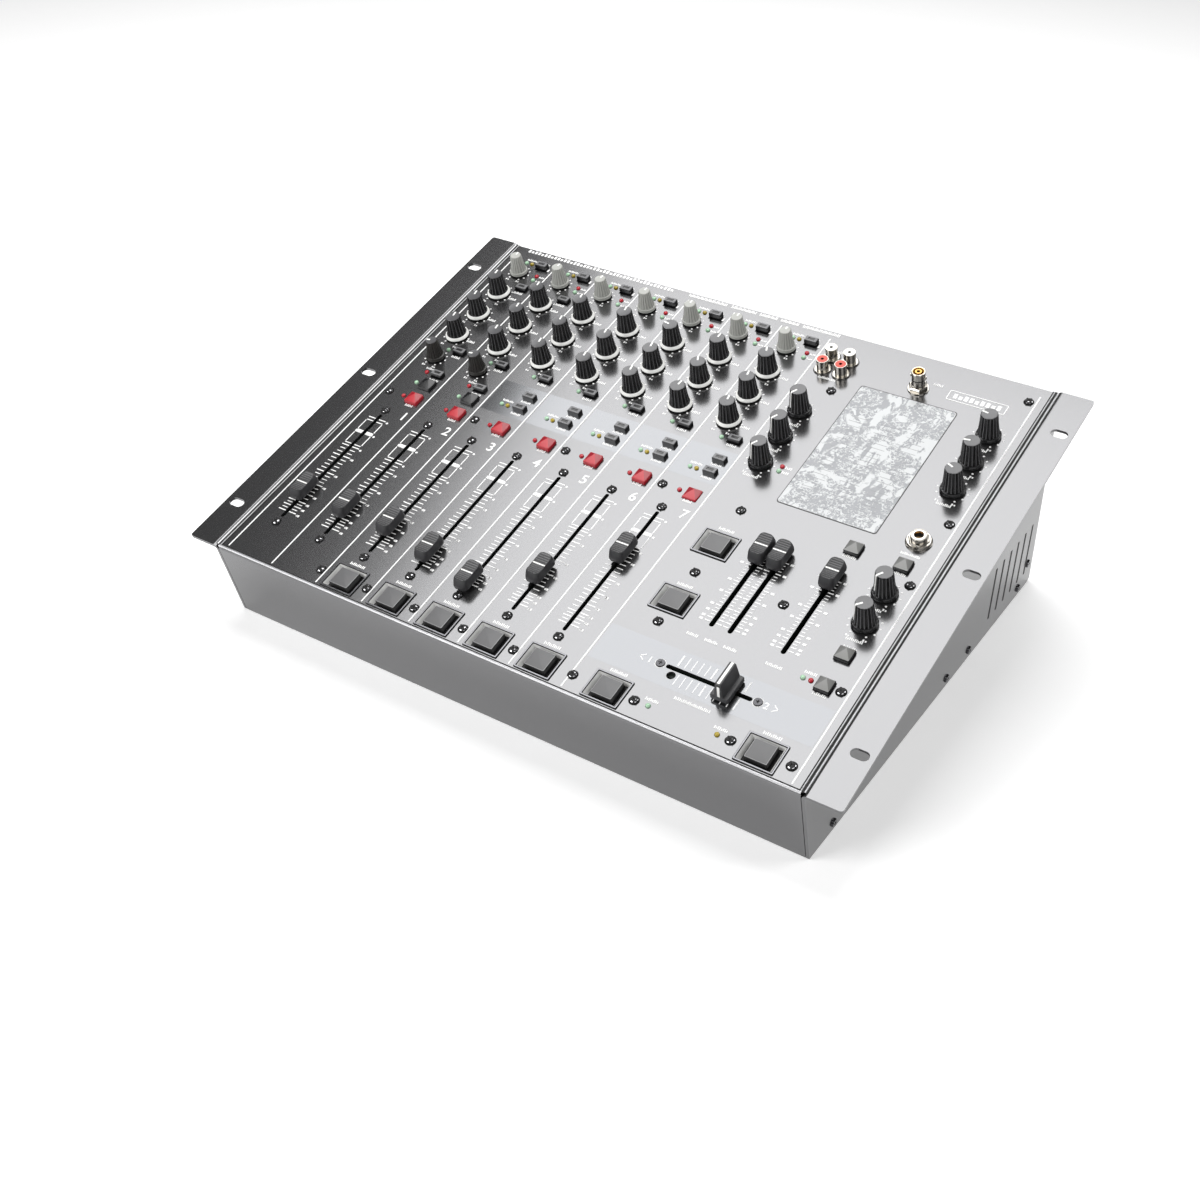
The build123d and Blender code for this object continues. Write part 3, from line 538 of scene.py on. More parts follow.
def islands(node):
    """Middle (x, v) and top n of each separate solid of a CAD node."""
    solid = bmesh.new()
    solid.from_mesh(frame["nodes"][node].data)
    bmesh.ops.remove_doubles(solid, verts=solid.verts, dist=1e-5)
    spots = []
    left = set(solid.verts)
    while left:
        stack = [left.pop()]
        found = []
        while stack:
            vert = stack.pop()
            found.append(panel_spot(vert.co))
            for edge in vert.link_edges:
                other = edge.other_vert(vert)
                if other in left:
                    left.remove(other)
                    stack.append(other)
        low = [min(p[i] for p in found) for i in range(3)]
        high = [max(p[i] for p in found) for i in range(3)]
        spots.append(((low[0] + high[0]) / 2, (low[1] + high[1]) / 2, high[2]))
    solid.free()
    return sorted(spots)


def lever(shell, x_size, v_size, finish):
    """The flat steel lever under a cap."""
    shell.stack([rounded(x_size, v_size, 0.1, n, 1) for n in (-10.9, 4.0)], [finish, finish])


def side_line(half_length, half_width, corner, steps=24):
    """Half-widths along a round-cornered cap, from its near end to its far end."""
    line = []
    for i in range(steps + 1):
        turn = math.pi * i / steps
        v = -half_length * math.cos(turn)
        over = max(0.0, abs(v) - (half_length - corner))
        line.append((half_width - corner + math.sqrt(max(0.0, corner ** 2 - over ** 2)), v))
    return line


def dished(v):
    """Height of the saddle top, lowest at the white line."""
    return 9.75 + 1.2 * (v / 9.0) ** 2


TOP_HALF = 8.65
TOP_ROWS = 44


def saddle_cap():
    """A fader cap: round-cornered loops that draw in towards a dished and ribbed top."""
    # finishes by number: 0 sides, 1 top, 2 line, 3 lever, 4 rib crest
    shell = Shell()
    levels = ((9.7, 4.5, 2.4, 2.15), (10.6, 5.0, 2.6, 2.9), (10.9, 5.15, 2.8, 4.2),
              (10.75, 5.15, 3.0, 5.8), (10.2, 5.05, 3.1, 7.8), (9.5, 4.95, 3.2, 9.6))
    loops = []
    for length, width, corner, n in levels:
        line = side_line(length, width, corner)
        loops.append([(w, v, n) for w, v in line] + [(-w, v, n) for w, v in reversed(line)])
    for inset, drop in ((0.0, 0.45), (0.12, 0.15), (0.45, 0.0)):
        line = side_line(9.1 - inset, 4.85 - inset, 3.3 - inset)
        loops.append([(w, v, dished(v) - drop) for w, v in line]
                     + [(-w, v, dished(v) - drop) for w, v in reversed(line)])
    rows = [shell.loop(points) for points in loops]
    for i in range(len(rows) - 1):
        shell.band(rows[i], rows[i + 1], 0)
    # the top: cross rows that follow the dish, with fine grooves, ribs and the white line
    edge = side_line(TOP_HALF, 4.4, 2.85)
    top = []
    for i in range(TOP_ROWS + 1):
        v = TOP_HALF * (2 * i / TOP_ROWS - 1)
        w = next(a[0] + (b[0] - a[0]) * (v - a[1]) / (b[1] - a[1])
                 for a, b in zip(edge, edge[1:]) if v <= b[1] + 1e-6)
        groove = 0.22 if i % 4 == 2 and abs(v) > 1.2 else 0.0
        top.append(shell.loop([(-w, v, dished(v) - groove), (w, v, dished(v) - groove)]))
    # the rib crests, every fourth row away from the white line, are drawn lighter: a painted highlight
    for i, (near, far) in enumerate(zip(top, top[1:])):
        crest = i % 4 == 1 and abs(i - TOP_ROWS / 2) > 3
        shell.face([near[0], near[1], far[1], far[0]], 4 if crest else 1)
    line = [(-4.45, -0.5), (4.45, -0.5), (4.45, 0.5), (-4.45, 0.5)]
    shell.face(shell.loop([(x, v, 9.86) for x, v in line]), 2)
    lever(shell, 1.2, 6.0, 3)
    return shell.mesh("fader_cap", [fader_abs, fader_top_abs, white_abs, lever_steel, fader_rib_abs],
                      28)


fader_mesh = saddle_cap()
node_body = {n: b for b, nodes in frame["record"]["behaviour"]["bodies"].items() for n in nodes}
for node in sorted(n for n in frame["nodes"] if n.endswith("_fader") or "channel_fader" in n):
    x, v, _ = islands(node)[0]
    place(fader_mesh, node + "_cap", node_body[node], on_panel(x, v), node, "fader_plastic")

# Crossfader: a tall blade with a white line over its edge, clipped in a saddle base.
cross = Shell()
cross.stack(
    [rounded(12.0, 20.0, 1.0, 1.6), rounded(12.0, 20.0, 1.0, 3.8), rounded(11.2, 19.2, 1.0, 4.6),
     rounded(7.2, 18.8, 0.8, 4.9)], [0, 0, 0, 0])
cross.stack(
    [rounded(6.4, 19.4, 0.5, 4.6), rounded(5.6, 18.8, 0.5, 8.5), rounded(4.4, 17.6, 0.5, 14.8),
     rounded(3.9, 17.2, 0.5, 15.45), rounded(3.3, 16.6, 0.4, 15.6)], [0, 0, 0, 1, 1])
line_half = 0.85
front = [(-8.4, 15.62), (-8.75, 15.0), (-9.46, 8.5), (-9.75, 4.9)]
cross_line = [(-v, n) for v, n in reversed(front)] + front
rows = [cross.loop([(-line_half, v, n), (line_half, v, n)]) for v, n in cross_line]
for lower, upper in zip(rows, rows[1:]):
    cross.face([lower[1], lower[0], upper[0], upper[1]], 2)
lever(cross, 6.0, 1.2, 3)
spot = islands("crossfader")[0]
place(cross.mesh("crossfader_cap", [fader_abs, fader_top_abs, white_abs, lever_steel], 24),
      "crossfader_cap", node_body["crossfader"], on_panel(spot[0], spot[1]), "crossfader",
      "fader_plastic")

# ---- Pads and their bezels ----------------------------------------------------------------
# Grey moulded pads with a flat satin top, each in a dark-edged frame whose sloping walls are
# drawn pale as a painted reflection, with black round the pad as painted shade, pressed into
# the panel from above.
pad_abs = finish_of("grey_pad_abs", "585859", "616162", 0.3, (0.36, 0.44), 0.008)
pad_edge_highlight_abs = finish_of("pad_edge_painted_highlight_abs", "8c8c8d", "969697", 0.3, (0.3, 0.38), 0.004)
pad_side_abs = finish_of("pad_side_abs", "0c0c0d", "121213", 0.35, (0.4, 0.5), 0.006)
bezel_coat = finish_of("gloss_bezel_coat", "6c6c6f", "747477", 0.5, (0.18, 0.24), 0.002,
                       Metallic=0.9)
bezel_wall_reflection = finish_of("bezel_wall_painted_reflection", "d4d4d2", "dcdcda", 0.5, (0.3, 0.4), 0.003)
# black for gaps, and for painted shade in seats, recesses, slits and round the pads
gap_and_painted_shade_black = finish_of("gap_and_painted_shade_black", "050505", "080808", 0.5, (0.6, 0.7), 0.002)
bezels = Shell()
# width, depth, height and the finish of what follows: 0 painted rim, 1 wall, drawn pale as a painted reflection, 2
# black, which on the floor round the pad is painted shade
BEZEL_STEPS = (
    (25.4, 21.3, -0.4, 2), (25.4, 21.3, 0.6, 2), (24.8, 20.7, 0.9, 0), (23.4, 19.3, 0.9, 2),
    (23.0, 18.9, 0.4, 2), (22.4, 18.3, 0.4, 1), (18.6, 16.4, -2.6, 2), (15.0, 14.6, -3.1, 2))
for x, v, _ in islands("pad_bezels"):
    rows = [bezels.loop(rounded(w, d, 0.5, n, 2, x, v)) for w, d, n, _ in BEZEL_STEPS]
    for (_, _, _, finish), lower, upper in zip(BEZEL_STEPS, rows, rows[1:]):
        bezels.band(lower, upper, finish)
place(bezels.mesh("bezels", [bezel_coat, bezel_wall_reflection, gap_and_painted_shade_black]), "bezels", "case", PANEL_ORIGIN,
      "pad_bezels", "bezel_plastic")
pads = Shell()
PAD_W, PAD_D = 14.6, 14.2
for x, v, top in islands("pad_caps"):
    # the chamfer round the top is drawn lighter than the top: a painted highlight
    profile = ((0.0, 0.5, -7.8), (0.0, 0.5, top - 0.5), (0.5, 0.5, top - 0.05), (1.1, 0.4, top))
    pads.stack([rounded(PAD_W - inset, PAD_D - inset, corner, n, x=x, v=v)
                for inset, corner, n in profile], [1, 1, 2, 0])
place(pads.mesh("pad_tops", [pad_abs, pad_side_abs, pad_edge_highlight_abs]), "pad_tops", "pad_caps",
      PANEL_ORIGIN, "pad_caps", "pad_plastic")

# ---- Push buttons -------------------------------------------------------------------------
# Slim black caps with a grey hollowed face, and square caps with a low off-centre point: red for
# cue, black for the start switches of channels 1 and 2, grey in the master section.
cue_abs = finish_of("red_cue_abs", "ac1824", "b82230", 0.3, (0.26, 0.34), 0.004)
grey_button_abs = finish_of("grey_button_abs", "7a7a78", "848482", 0.3, (0.32, 0.4), 0.005)
slim_top_abs = finish_of("slim_top_abs", "333334", "3c3c3d", 0.3, (0.3, 0.38), 0.005)
cue_side_shade_abs = finish_of("red_cue_painted_shade_abs", "8e1420", "9a1c2a", 0.3, (0.26, 0.34), 0.004)
grey_side_shade_abs = finish_of("grey_button_painted_shade_abs", "5c5c5a", "666664", 0.3, (0.32, 0.4), 0.005)
slim_face_abs = finish_of("slim_face_abs", "69696b", "737375", 0.3, (0.3, 0.38), 0.003)
button_finishes = [black_abs, slim_top_abs, cue_abs, grey_button_abs, slim_face_abs,
                   cue_side_shade_abs, grey_side_shade_abs]
buttons = Shell()
SQUARE_ROWS = (172.7, 188.7, 96.0, 71.0)
START_V = 180.0          # above this a channel's square button is the black start switch
SLIM_LOW = 0.62          # how tall a slim cap stands against its CAD solid
SLIM_SHIFT = 1.0
for x, v, top in islands("push_buttons"):
    if any(abs(v - row) < 1 for row in SQUARE_ROWS):
        colour = 3 if x > MASTER_X else 2 if v < START_V else 0
        wall = 0 if colour == 3 else colour
        loops = [
            rounded(10.0, 9.8, 0.4, top - 9.0, 2, x, v), rounded(10.0, 9.8, 0.4, top - 2.0, 2, x, v),
            rounded(9.3, 9.1, 0.4, top - 1.5, 2, x, v), rounded(0.6, 0.6, 0.1, top, 2, x, v + 2.6)]
        buttons.stack(loops, [wall, wall, colour, colour])
        # the left and right faces of the point are drawn darker than the near one: painted shade
        if colour:
            buttons.finish[-8] = buttons.finish[-2] = colour + 3
    else:
        top *= SLIM_LOW
        v += SLIM_SHIFT
        loops = [
            rounded(9.2, 5.2, 0.3, -4.8, 2, x, v), rounded(9.2, 5.2, 0.3, top - 0.6, 2, x, v),
            rounded(8.7, 4.7, 0.3, top - 0.1, 2, x, v), rounded(8.4, 4.4, 0.3, top, 2, x, v),
            rounded(5.2, 2.2, 0.2, top, 2, x, v), rounded(4.8, 1.8, 0.2, top - 0.3, 2, x, v)]
        buttons.stack(loops, [0, 1, 4, 4, 0, 0])
place(buttons.mesh("button_caps", button_finishes, 20), "button_caps", "push_buttons",
      PANEL_ORIGIN, "push_buttons", "button_plastic")

# ---- Lamps --------------------------------------------------------------------------------
# Unlit 3 mm LEDs, soldered to the board behind: glossy tinted epoxy domes that stand a little
# out of the panel.
led_green = finish_of("green_led_epoxy", "95bf9d", "b9dcbd", 0.5, (0.08, 0.14), 0.002)
led_yellow = finish_of("yellow_led_epoxy", "a08c2c", "b8a23c", 0.5, (0.08, 0.14), 0.002)
led_red = finish_of("red_led_epoxy", "a8202c", "c02c38", 0.5, (0.08, 0.14), 0.002)
GREEN, YELLOW, RED = 0, 1, 2
LED_R = 1.55
lamp_spots = [
    (87.3, 219.0, RED), (87.1, 214.5, GREEN), (180.0, 71.5, GREEN), (185.1, 71.5, RED),
    (110.8, 14.4, GREEN), (156.3, 14.4, YELLOW)]
for x in strips:
    lamp_spots += [(x + 13.5, 336.4, GREEN), (x + 18.3, 336.4, YELLOW), (x + 30.2, 325.2, RED),
                   (x + 30.2, 320.2, GREEN), (x + 18.3, 227.6, GREEN), (x + 18.2, 173.2, RED)]
for x in strips[2:]:
    lamp_spots += [(x + 13.3, 194.9, GREEN), (x + 18.2, 194.9, YELLOW)]
for x in strips[:2]:
    lamp_spots += [(x + 18.3, 200.9, RED), (x + 18.2, 188.6, GREEN)]
lamps = Shell()
for x, v, colour in lamp_spots:
    dome = Shell()
    loops = [ring(LED_R, -1.0, 16), ring(LED_R, 0.5, 16)]
    for i in range(1, 5):
        turn = math.pi / 2 * i / 5
        loops.append(ring(LED_R * math.cos(turn), 0.5 + 1.0 * math.sin(turn), 16))
    dome.stack(loops, [colour] * len(loops))
    lamps.moved(dome, Matrix.Translation((x, v, 0)))
place(lamps.mesh("status_lamps", [led_green, led_yellow, led_red], 60), "status_lamps", "case",
      PANEL_ORIGIN, slot="button_plastic")

# ---- Screws -------------------------------------------------------------------------------
# Black-oxide pan heads with a cross recess hold the panel and the sides. A band round their
# domes is drawn bright, a painted glint, and a black ring round each head, the dome's foot, its
# middle and its cross are painted shade. Two bright zinc flat heads with a printed ring hold the
# crossfader; their countersinks and crosses are drawn black, painted shade.
black_oxide = finish_of("black_oxide_steel", "3e3e40", "464648", 0.4, (0.07, 0.10), 0.001,
                        Metallic=0.95)
oxide_glint = finish_of("oxide_painted_glint_steel", "a2a2a4", "acacae", 0.4, (0.1, 0.16), 0.001, Metallic=0.95)
zinc = finish_of("bright_zinc_steel", "cfcfd2", "dadadd", 0.4, (0.2, 0.3), 0.003, Metallic=1.0)
frame["nodes"]["screws"].data.materials.clear()
frame["nodes"]["screws"].data.materials.append(black_oxide)
pan_heads = Shell()
CROSSFADER_V = 44.5
for x, v, top in islands("screws"):
    # neither the side plates' screws nor the crossfader's
    if not 0.2 < top < 4.0 or abs(v - CROSSFADER_V) < 1:
        continue
    # a black ring round the head, painted shade, then a domed head with its cross recess
    head = Shell()
    seat = [head.loop(ring(r, 0.04, 32)) for r in (3.5, 2.9)]
    head.band(seat[0], seat[1], 1)
    # the dome's foot and middle are black, painted shade, and a band half way up is bright, a painted glint
    head.stack([ring(3.05 * math.cos(a), 0.3 + 1.7 * math.sin(a), 32)
                for a in (0, 0.3, 0.6, 0.9, 1.15, 1.35)], [1, 0, 2, 2, 0, 1])
    # the cross recess is drawn as black bars standing on the dome: painted shade
    for w, d in ((4.6, 1.15), (1.15, 4.6)):
        head.stack([rounded(w, d, 0.1, n, 1) for n in (1.0, 2.02)], [1, 1])
    pan_heads.moved(head, Matrix.Translation((x, v, 0))
                    @ Matrix.Rotation(math.radians(37 * (x + v)), 4, "Z"))
place(pan_heads.mesh("panel_screw_heads", [black_oxide, gap_and_painted_shade_black, oxide_glint], 60),
      "panel_screw_heads", "case", PANEL_ORIGIN, slot="black_screw")
cross_heads = Shell()
for x in (100.9, 165.7):
    # a printed ring, the countersink drawn black as painted shade, and the bright head with its cross recess drawn
    # black as painted shade
    head = Shell()
    rows = [head.loop(ring(r, 0.06, 32)) for r in (3.45, 2.95)]
    head.band(rows[0], rows[1], 1)
    head.stack([ring(2.45, 0.02, 32), ring(2.45, 0.1, 32), ring(1.95, 0.1, 32)], [2, 2, 2])
    head.stack([ring(1.9, 0.1, 32), ring(1.9, 0.3, 32), ring(1.5, 0.5, 32)], [0, 0, 0])
    for w, d in ((2.2, 0.6), (0.6, 2.2)):
        head.stack([rounded(w, d, 0.1, n, 1) for n in (0.4, 0.54)], [2, 2])
    cross_heads.moved(head, Matrix.Translation((x, CROSSFADER_V, 0)))
place(cross_heads.mesh("crossfader_screw_heads", [zinc, ink, gap_and_painted_shade_black]),
      "crossfader_screw_heads", "case", PANEL_ORIGIN, slot="black_screw")

# ---- Sockets ------------------------------------------------------------------------------
# Nickel-plated brass phono, bayonet and headphone sockets. The phono ones carry a coloured
# insert: white for left, red for right. The headphone socket has a hexagon nut on a washer.
nickel = finish_of("nickel_plated_brass", "a8a49d", "b4b0a9", 0.8, (0.18, 0.26), 0.002,
                   Metallic=1.0)
insert_red = finish_of("red_insert_nylon", "c8402e", "d24a38", 0.4, (0.3, 0.4), 0.003)
insert_white = finish_of("white_insert_nylon", "f0efe9", "f8f7f1", 0.4, (0.3, 0.4), 0.003)
brass = finish_of("spring_brass", "b98a4a", "c89a58", 0.5, (0.25, 0.35), 0.003, Metallic=1.0)
frame["nodes"]["sockets"].data.materials.clear()
frame["nodes"]["sockets"].data.materials.append(nickel)
inserts = Shell()
for x in (67.0, 80.7):
    for v, finish in ((314.3, 0), (327.5, 1)):
        washer = Shell()
        outer = [washer.loop(ring(r, n, 32)) for r, n in ((3.75, 9.5), (3.7, 9.58), (1.1, 9.58),
                                                       (1.05, 9.4))]
        for lower, upper in zip(outer, outer[1:]):
            washer.band(lower, upper, finish)
        shadow_ring = [washer.loop(ring(r, 0.04, 32)) for r in (6.5, 5.9)]
        washer.band(shadow_ring[0], shadow_ring[1], 3)
        inserts.moved(washer, Matrix.Translation((x, v, 0)))
bayonet = Shell()
BAYONET_AT = (133.7, 322.0, 0)
HEX_TURNS = [math.radians(60 * i) for i in range(6)]
bayonet_hex = [(6.7 * math.cos(turn), 6.7 * math.sin(turn)) for turn in HEX_TURNS]
bayonet.stack([ring(7.2, 0.02, 32), ring(7.2, 0.6, 32), ring(7.0, 0.75, 32)], [4, 4, 4])
bayonet.stack([[(x * k, v * k, n) for x, v in bayonet_hex]
               for k, n in ((1, 0.7), (1, 2.6), (0.88, 3.4))], [4, 4, 4])
barrel = ((4.9, 3.2, 4), (4.9, 4.2, 4), (4.46, 4.4, 4), (4.46, 8.4, 3), (4.46, 9.2, 4),
          (4.46, 12.4, 4), (4.75, 12.7, 4), (4.75, 14.5, 4), (4.5, 14.8, 4), (3.95, 14.8, 2),
          (3.55, 14.74, 2), (3.55, 7.0, 2))
rows = [bayonet.loop(ring(r, n, 32)) for r, n, _ in barrel]
for (_, _, finish), lower, upper in zip(barrel, rows, rows[1:]):
    bayonet.band(lower, upper, finish)
contact = ((2.35, 7.0), (2.35, 14.76), (1.15, 14.76), (1.15, 7.0))
rows = [bayonet.loop(ring(r, n, 32)) for r, n in contact]
for lower, upper in zip(rows, rows[1:]):
    bayonet.band(lower, upper, 2)
inserts.moved(bayonet, Matrix.Translation(BAYONET_AT))
socket_finishes = [insert_red, insert_white, brass, gap_and_painted_shade_black, nickel]
place(inserts.mesh("socket_inserts", socket_finishes), "socket_inserts", "case", PANEL_ORIGIN,
      slot="socket_metal")
nut = Shell()
PHONES_X, PHONES_V = 193.6, 195.0
phones_hex = [(7.3 * math.cos(turn), 7.3 * math.sin(turn)) for turn in HEX_TURNS]
nut.stack([ring(8.35, 0.02, 40), ring(8.35, 0.7, 40), ring(8.0, 0.95, 40)], [0, 0, 0])
nut.stack([[(x * k, v * k, n) for x, v in phones_hex]
           for k, n in ((1, 0.9), (1, 2.2), (0.88, 3.1))], [0, 0, 0])
# radius, height and the finish of what follows: 0 nickel, 1 brass contact, 2 dark bore
collar = ((5.3, 3.0, 0), (5.3, 5.6, 0), (5.1, 6.3, 0), (4.7, 6.6, 0), (4.1, 6.62, 0),
          (3.1, 6.56, 1), (3.1, 5.0, 2), (3.1, -6.0, 2))
rows = [nut.loop(ring(r, n, 40)) for r, n, _ in collar]
for (_, _, finish), lower, upper in zip(collar, rows, rows[1:]):
    nut.band(lower, upper, finish)
place(nut.mesh("phones_nut", [nickel, brass, gap_and_painted_shade_black], 40), "phones_nut", "case",
      on_panel(PHONES_X, PHONES_V), slot="socket_metal")

# ---- Rear connectors ----------------------------------------------------------------------
# The mains inlet and the two outputs are black moulded nylon, each a plate with a deep recess
# screwed to the leaning rear wall; their contact pins stay bright.
rear_nylon = finish_of("black_connector_nylon", "0f0f10", "161617", 0.5, (0.4, 0.5), 0.006)
# the foot of the rear wall, the way up it and the way out of it
REAR_FOOT = Vector((0, 170.796, 2.02))
REAR_DIR = Vector((0, -0.07962, 0.996825))
REAR_OUT = Vector((0, 0.996825, 0.07962))


def plate_loop(half_x, half_d, n, sides=96):
    """A rectangle's outline at height n, by equal angles."""
    points = []
    for i in range(sides):
        turn = 2 * math.pi * (i + 0.5) / sides
        reach = min(half_x / abs(math.cos(turn)), half_d / abs(math.sin(turn)))
        points.append((reach * math.cos(turn), reach * math.sin(turn), n))
    return points


def hole_loop(radius, n, sides=96):
    """A circle at height n, by the same angles."""
    turns = [2 * math.pi * (i + 0.5) / sides for i in range(sides)]
    return [(radius * math.cos(turn), radius * math.sin(turn), n) for turn in turns]


CONNECTOR_H = 32.0
INLET_X = -165.0
OUTPUT_XS = (-112.0, -78.0)
plates = Shell()
inlet = Shell()
inlet.stack([plate_loop(24.1, 13.1, 0.05), plate_loop(24.1, 13.1, 2.5), plate_loop(23.8, 12.8, 2.62),
             plate_loop(12.1, 8.1, 2.62), plate_loop(12.1, 8.1, -14.3)], [0] * 5, floor=False)
plates.moved(inlet, Matrix.Translation((INLET_X, CONNECTOR_H, 0)))
for x in OUTPUT_XS:
    output = Shell()
    output.stack([plate_loop(13.1, 15.6, 0.05), plate_loop(13.1, 15.6, 2.0),
                  plate_loop(12.8, 15.3, 2.12), hole_loop(9.4, 2.12), hole_loop(9.4, -12.8)],
                 [0] * 5, floor=False)
    plates.moved(output, Matrix.Translation((x, CONNECTOR_H, 0)))
rear_axes = Matrix((-ACROSS, REAR_DIR, REAR_OUT)).transposed().to_4x4()
place(plates.mesh("rear_plates", [rear_nylon]), "rear_plates", "case",
      Matrix.Translation(REAR_FOOT * MM) @ rear_axes, slot="socket_metal")

# ---- Meter window -------------------------------------------------------------------------
# Clear acrylic over the level meters, still under its pale protective film, which has dried
# white where it lifted. Faint meter segments show through.
film = bpy.data.materials.new("protective_film")
film.use_nodes = True
tree = film.node_tree
tree.nodes.clear()
coords = add_node(tree, "ShaderNodeTexCoord")
blotch = add_node(tree, "ShaderNodeTexNoise",
                  {"Scale": 420.0, "Detail": 8.0, "Roughness": 0.7, "Distortion": 1.2},
                  {"Vector": coords.outputs["Object"]})
patch = add_node(tree, "ShaderNodeTexNoise", {"Scale": 55.0, "Detail": 4.0, "Distortion": 1.2},
                 {"Vector": coords.outputs["Object"]})
turned = add_node(tree, "ShaderNodeMapping", None, {"Vector": coords.outputs["Object"]})
turned.inputs["Rotation"].default_value = (0, 0, math.radians(28))
turned.inputs["Scale"].default_value = (1.0, 0.22, 1.0)
streak = add_node(tree, "ShaderNodeTexNoise", {"Scale": 110.0, "Detail": 4.0, "Distortion": 1.0},
                  {"Vector": turned.outputs[0]})
patch_high = add_node(tree, "ShaderNodeMath", {"operation": "GREATER_THAN"},
                      {0: patch.outputs["Fac"]})
patch_high.inputs[1].default_value = 0.52
kind = add_node(tree, "ShaderNodeMix", {"data_type": "FLOAT"},
                {0: patch_high.outputs[0], 2: blotch.outputs["Fac"], 3: streak.outputs["Fac"]})
amount = add_node(tree, "ShaderNodeMix", {"data_type": "FLOAT"},
                  {2: kind.outputs[0], 3: patch.outputs["Fac"]})
amount.inputs[0].default_value = 0.35
film_tone = add_node(tree, "ShaderNodeValToRGB", None, {"Fac": amount.outputs[0]})
film_tone.color_ramp.elements[0].position = 0.49
film_tone.color_ramp.elements[0].color = srgb("8f9194")
film_tone.color_ramp.elements[1].position = 0.52
film_tone.color_ramp.elements[1].color = srgb("c6c8c9")
lifted = add_node(tree, "ShaderNodeBump", {"Strength": 0.3, "Distance": 0.0001},
                  {"Height": blotch.outputs["Fac"]})
shader = add_node(tree, "ShaderNodeBsdfPrincipled", {"Roughness": 0.25},
                  {"Base Color": film_tone.outputs[0], "Normal": lifted.outputs[0]})
add_node(tree, "ShaderNodeOutputMaterial", None, {"Surface": shader.outputs[0]})
frame["nodes"]["meter_window"].data.materials.clear()
frame["nodes"]["meter_window"].data.materials.append(film)
window_edge = finish_of("window_edge", "2a2a2c", "303032", 0.5, (0.3, 0.4), 0.002)
segment_grey = finish_of("dark_meter_segment", "77787b", "7f8083", 0.5, (0.4, 0.5), 0.002)
WINDOW = (98.5, 167.2, 190.0, 309.7)
WINDOW_TOP = 0.27
meter = Shell()
middle_x, middle_v = (WINDOW[0] + WINDOW[1]) / 2, (WINDOW[2] + WINDOW[3]) / 2
rim = [meter.loop(rounded(WINDOW[1] - WINDOW[0] + grow, WINDOW[3] - WINDOW[2] + grow, 2.0,
                          WINDOW_TOP, 4, middle_x, middle_v)) for grow in (0.5, -0.5)]
meter.band(rim[0], rim[1], 0)
for column, width in ((112.0, 12.0), (133.0, 14.0), (153.5, 12.0)):
    for i in range(20):
        v = 196.5 + 4.4 * i
        meter.face(meter.loop(rounded(width, 0.4, 0.1, WINDOW_TOP, 1, x=column, v=v)), 1)
place(meter.mesh("meter_marks", [window_edge, segment_grey]), "meter_marks", "case", PANEL_ORIGIN,
      slot="meter_film")

# ---- Seams --------------------------------------------------------------------------------
# The sheet edges catch the light: a bead along the front fold, and two beside each side gap
# with the black gap between them. The beads' coat is paler than the case's, a painted highlight,
# and the black lines are painted shade in the gaps and along the fold. The side vents are drawn
# as black slits: painted shade in their openings.
seam_highlight_coat = finish_of("seam_bead_painted_highlight", "b4b4b6", "bcbcbe", 0.5, (0.4, 0.48), 0.001, Metallic=0.9)
# the left ear's bead is drawn nearly white: a painted highlight
ear_edge_highlight = finish_of("ear_edge_painted_highlight", "ececee", "f4f4f6", 0.5, (0.4, 0.48), 0.001)
seams = Shell()


def bead(x, v, n, radius, length, along_v, finish=0):
    """Half of a thin rod lying on the panel, along v or along x."""
    ends = []
    for end in (-length / 2, length / 2):
        arc = []
        for i in range(9):
            turn = math.pi * i / 8
            across, up = radius * math.cos(turn), radius * math.sin(turn) * 0.8
            arc.append((x + across, v + end, n + up) if along_v else (x + end, v - across, n + up))
        ends.append(seams.loop(arc))
    for i in range(8):
        seams.face([ends[0][i], ends[1][i], ends[1][i + 1], ends[0][i + 1]][::-1], finish)


def seam_shade_line(x, v, width, depth, n=0.08):
    """A black line lying on the panel, in a sheet gap and along the front fold: painted shade."""
    w, d = width / 2, depth / 2
    seams.face(seams.loop([(x - w, v - d, n), (x + w, v - d, n), (x + w, v + d, n),
                           (x - w, v + d, n)]), 1)


SEAM_V = PANEL_DEPTH / 2
PANEL_SEAM = PANEL_DEPTH - 3
EAR_SEAM = PANEL_DEPTH - 4
for side in (-1, 1):
    seam_shade_line(side * 214.5, SEAM_V, 0.7, PANEL_SEAM)
    bead(side * 215.3, SEAM_V, 0.05, 0.4, PANEL_SEAM, True)
    seam_shade_line(side * 216.5, SEAM_V, 1.6, PANEL_SEAM, 0.12)
    # the left ear's rounded edge catches the lamp, so it is drawn nearly white
    bead(side * 217.8, SEAM_V, 0.0, 0.6, EAR_SEAM, True, 2 if side < 0 else 0)
    seam_shade_line(side * 218.9, SEAM_V, 0.9, EAR_SEAM, 0.12)
seam_shade_line(0, 2.6, 430.0, 0.6, 0.12)
bead(0, 1.3, -0.25, 1.0, 432.0, False)
place(seams.mesh("sheet_seams", [seam_highlight_coat, gap_and_painted_shade_black, ear_edge_highlight], 80), "sheet_seams", "case",
      PANEL_ORIGIN, slot="case_paint")
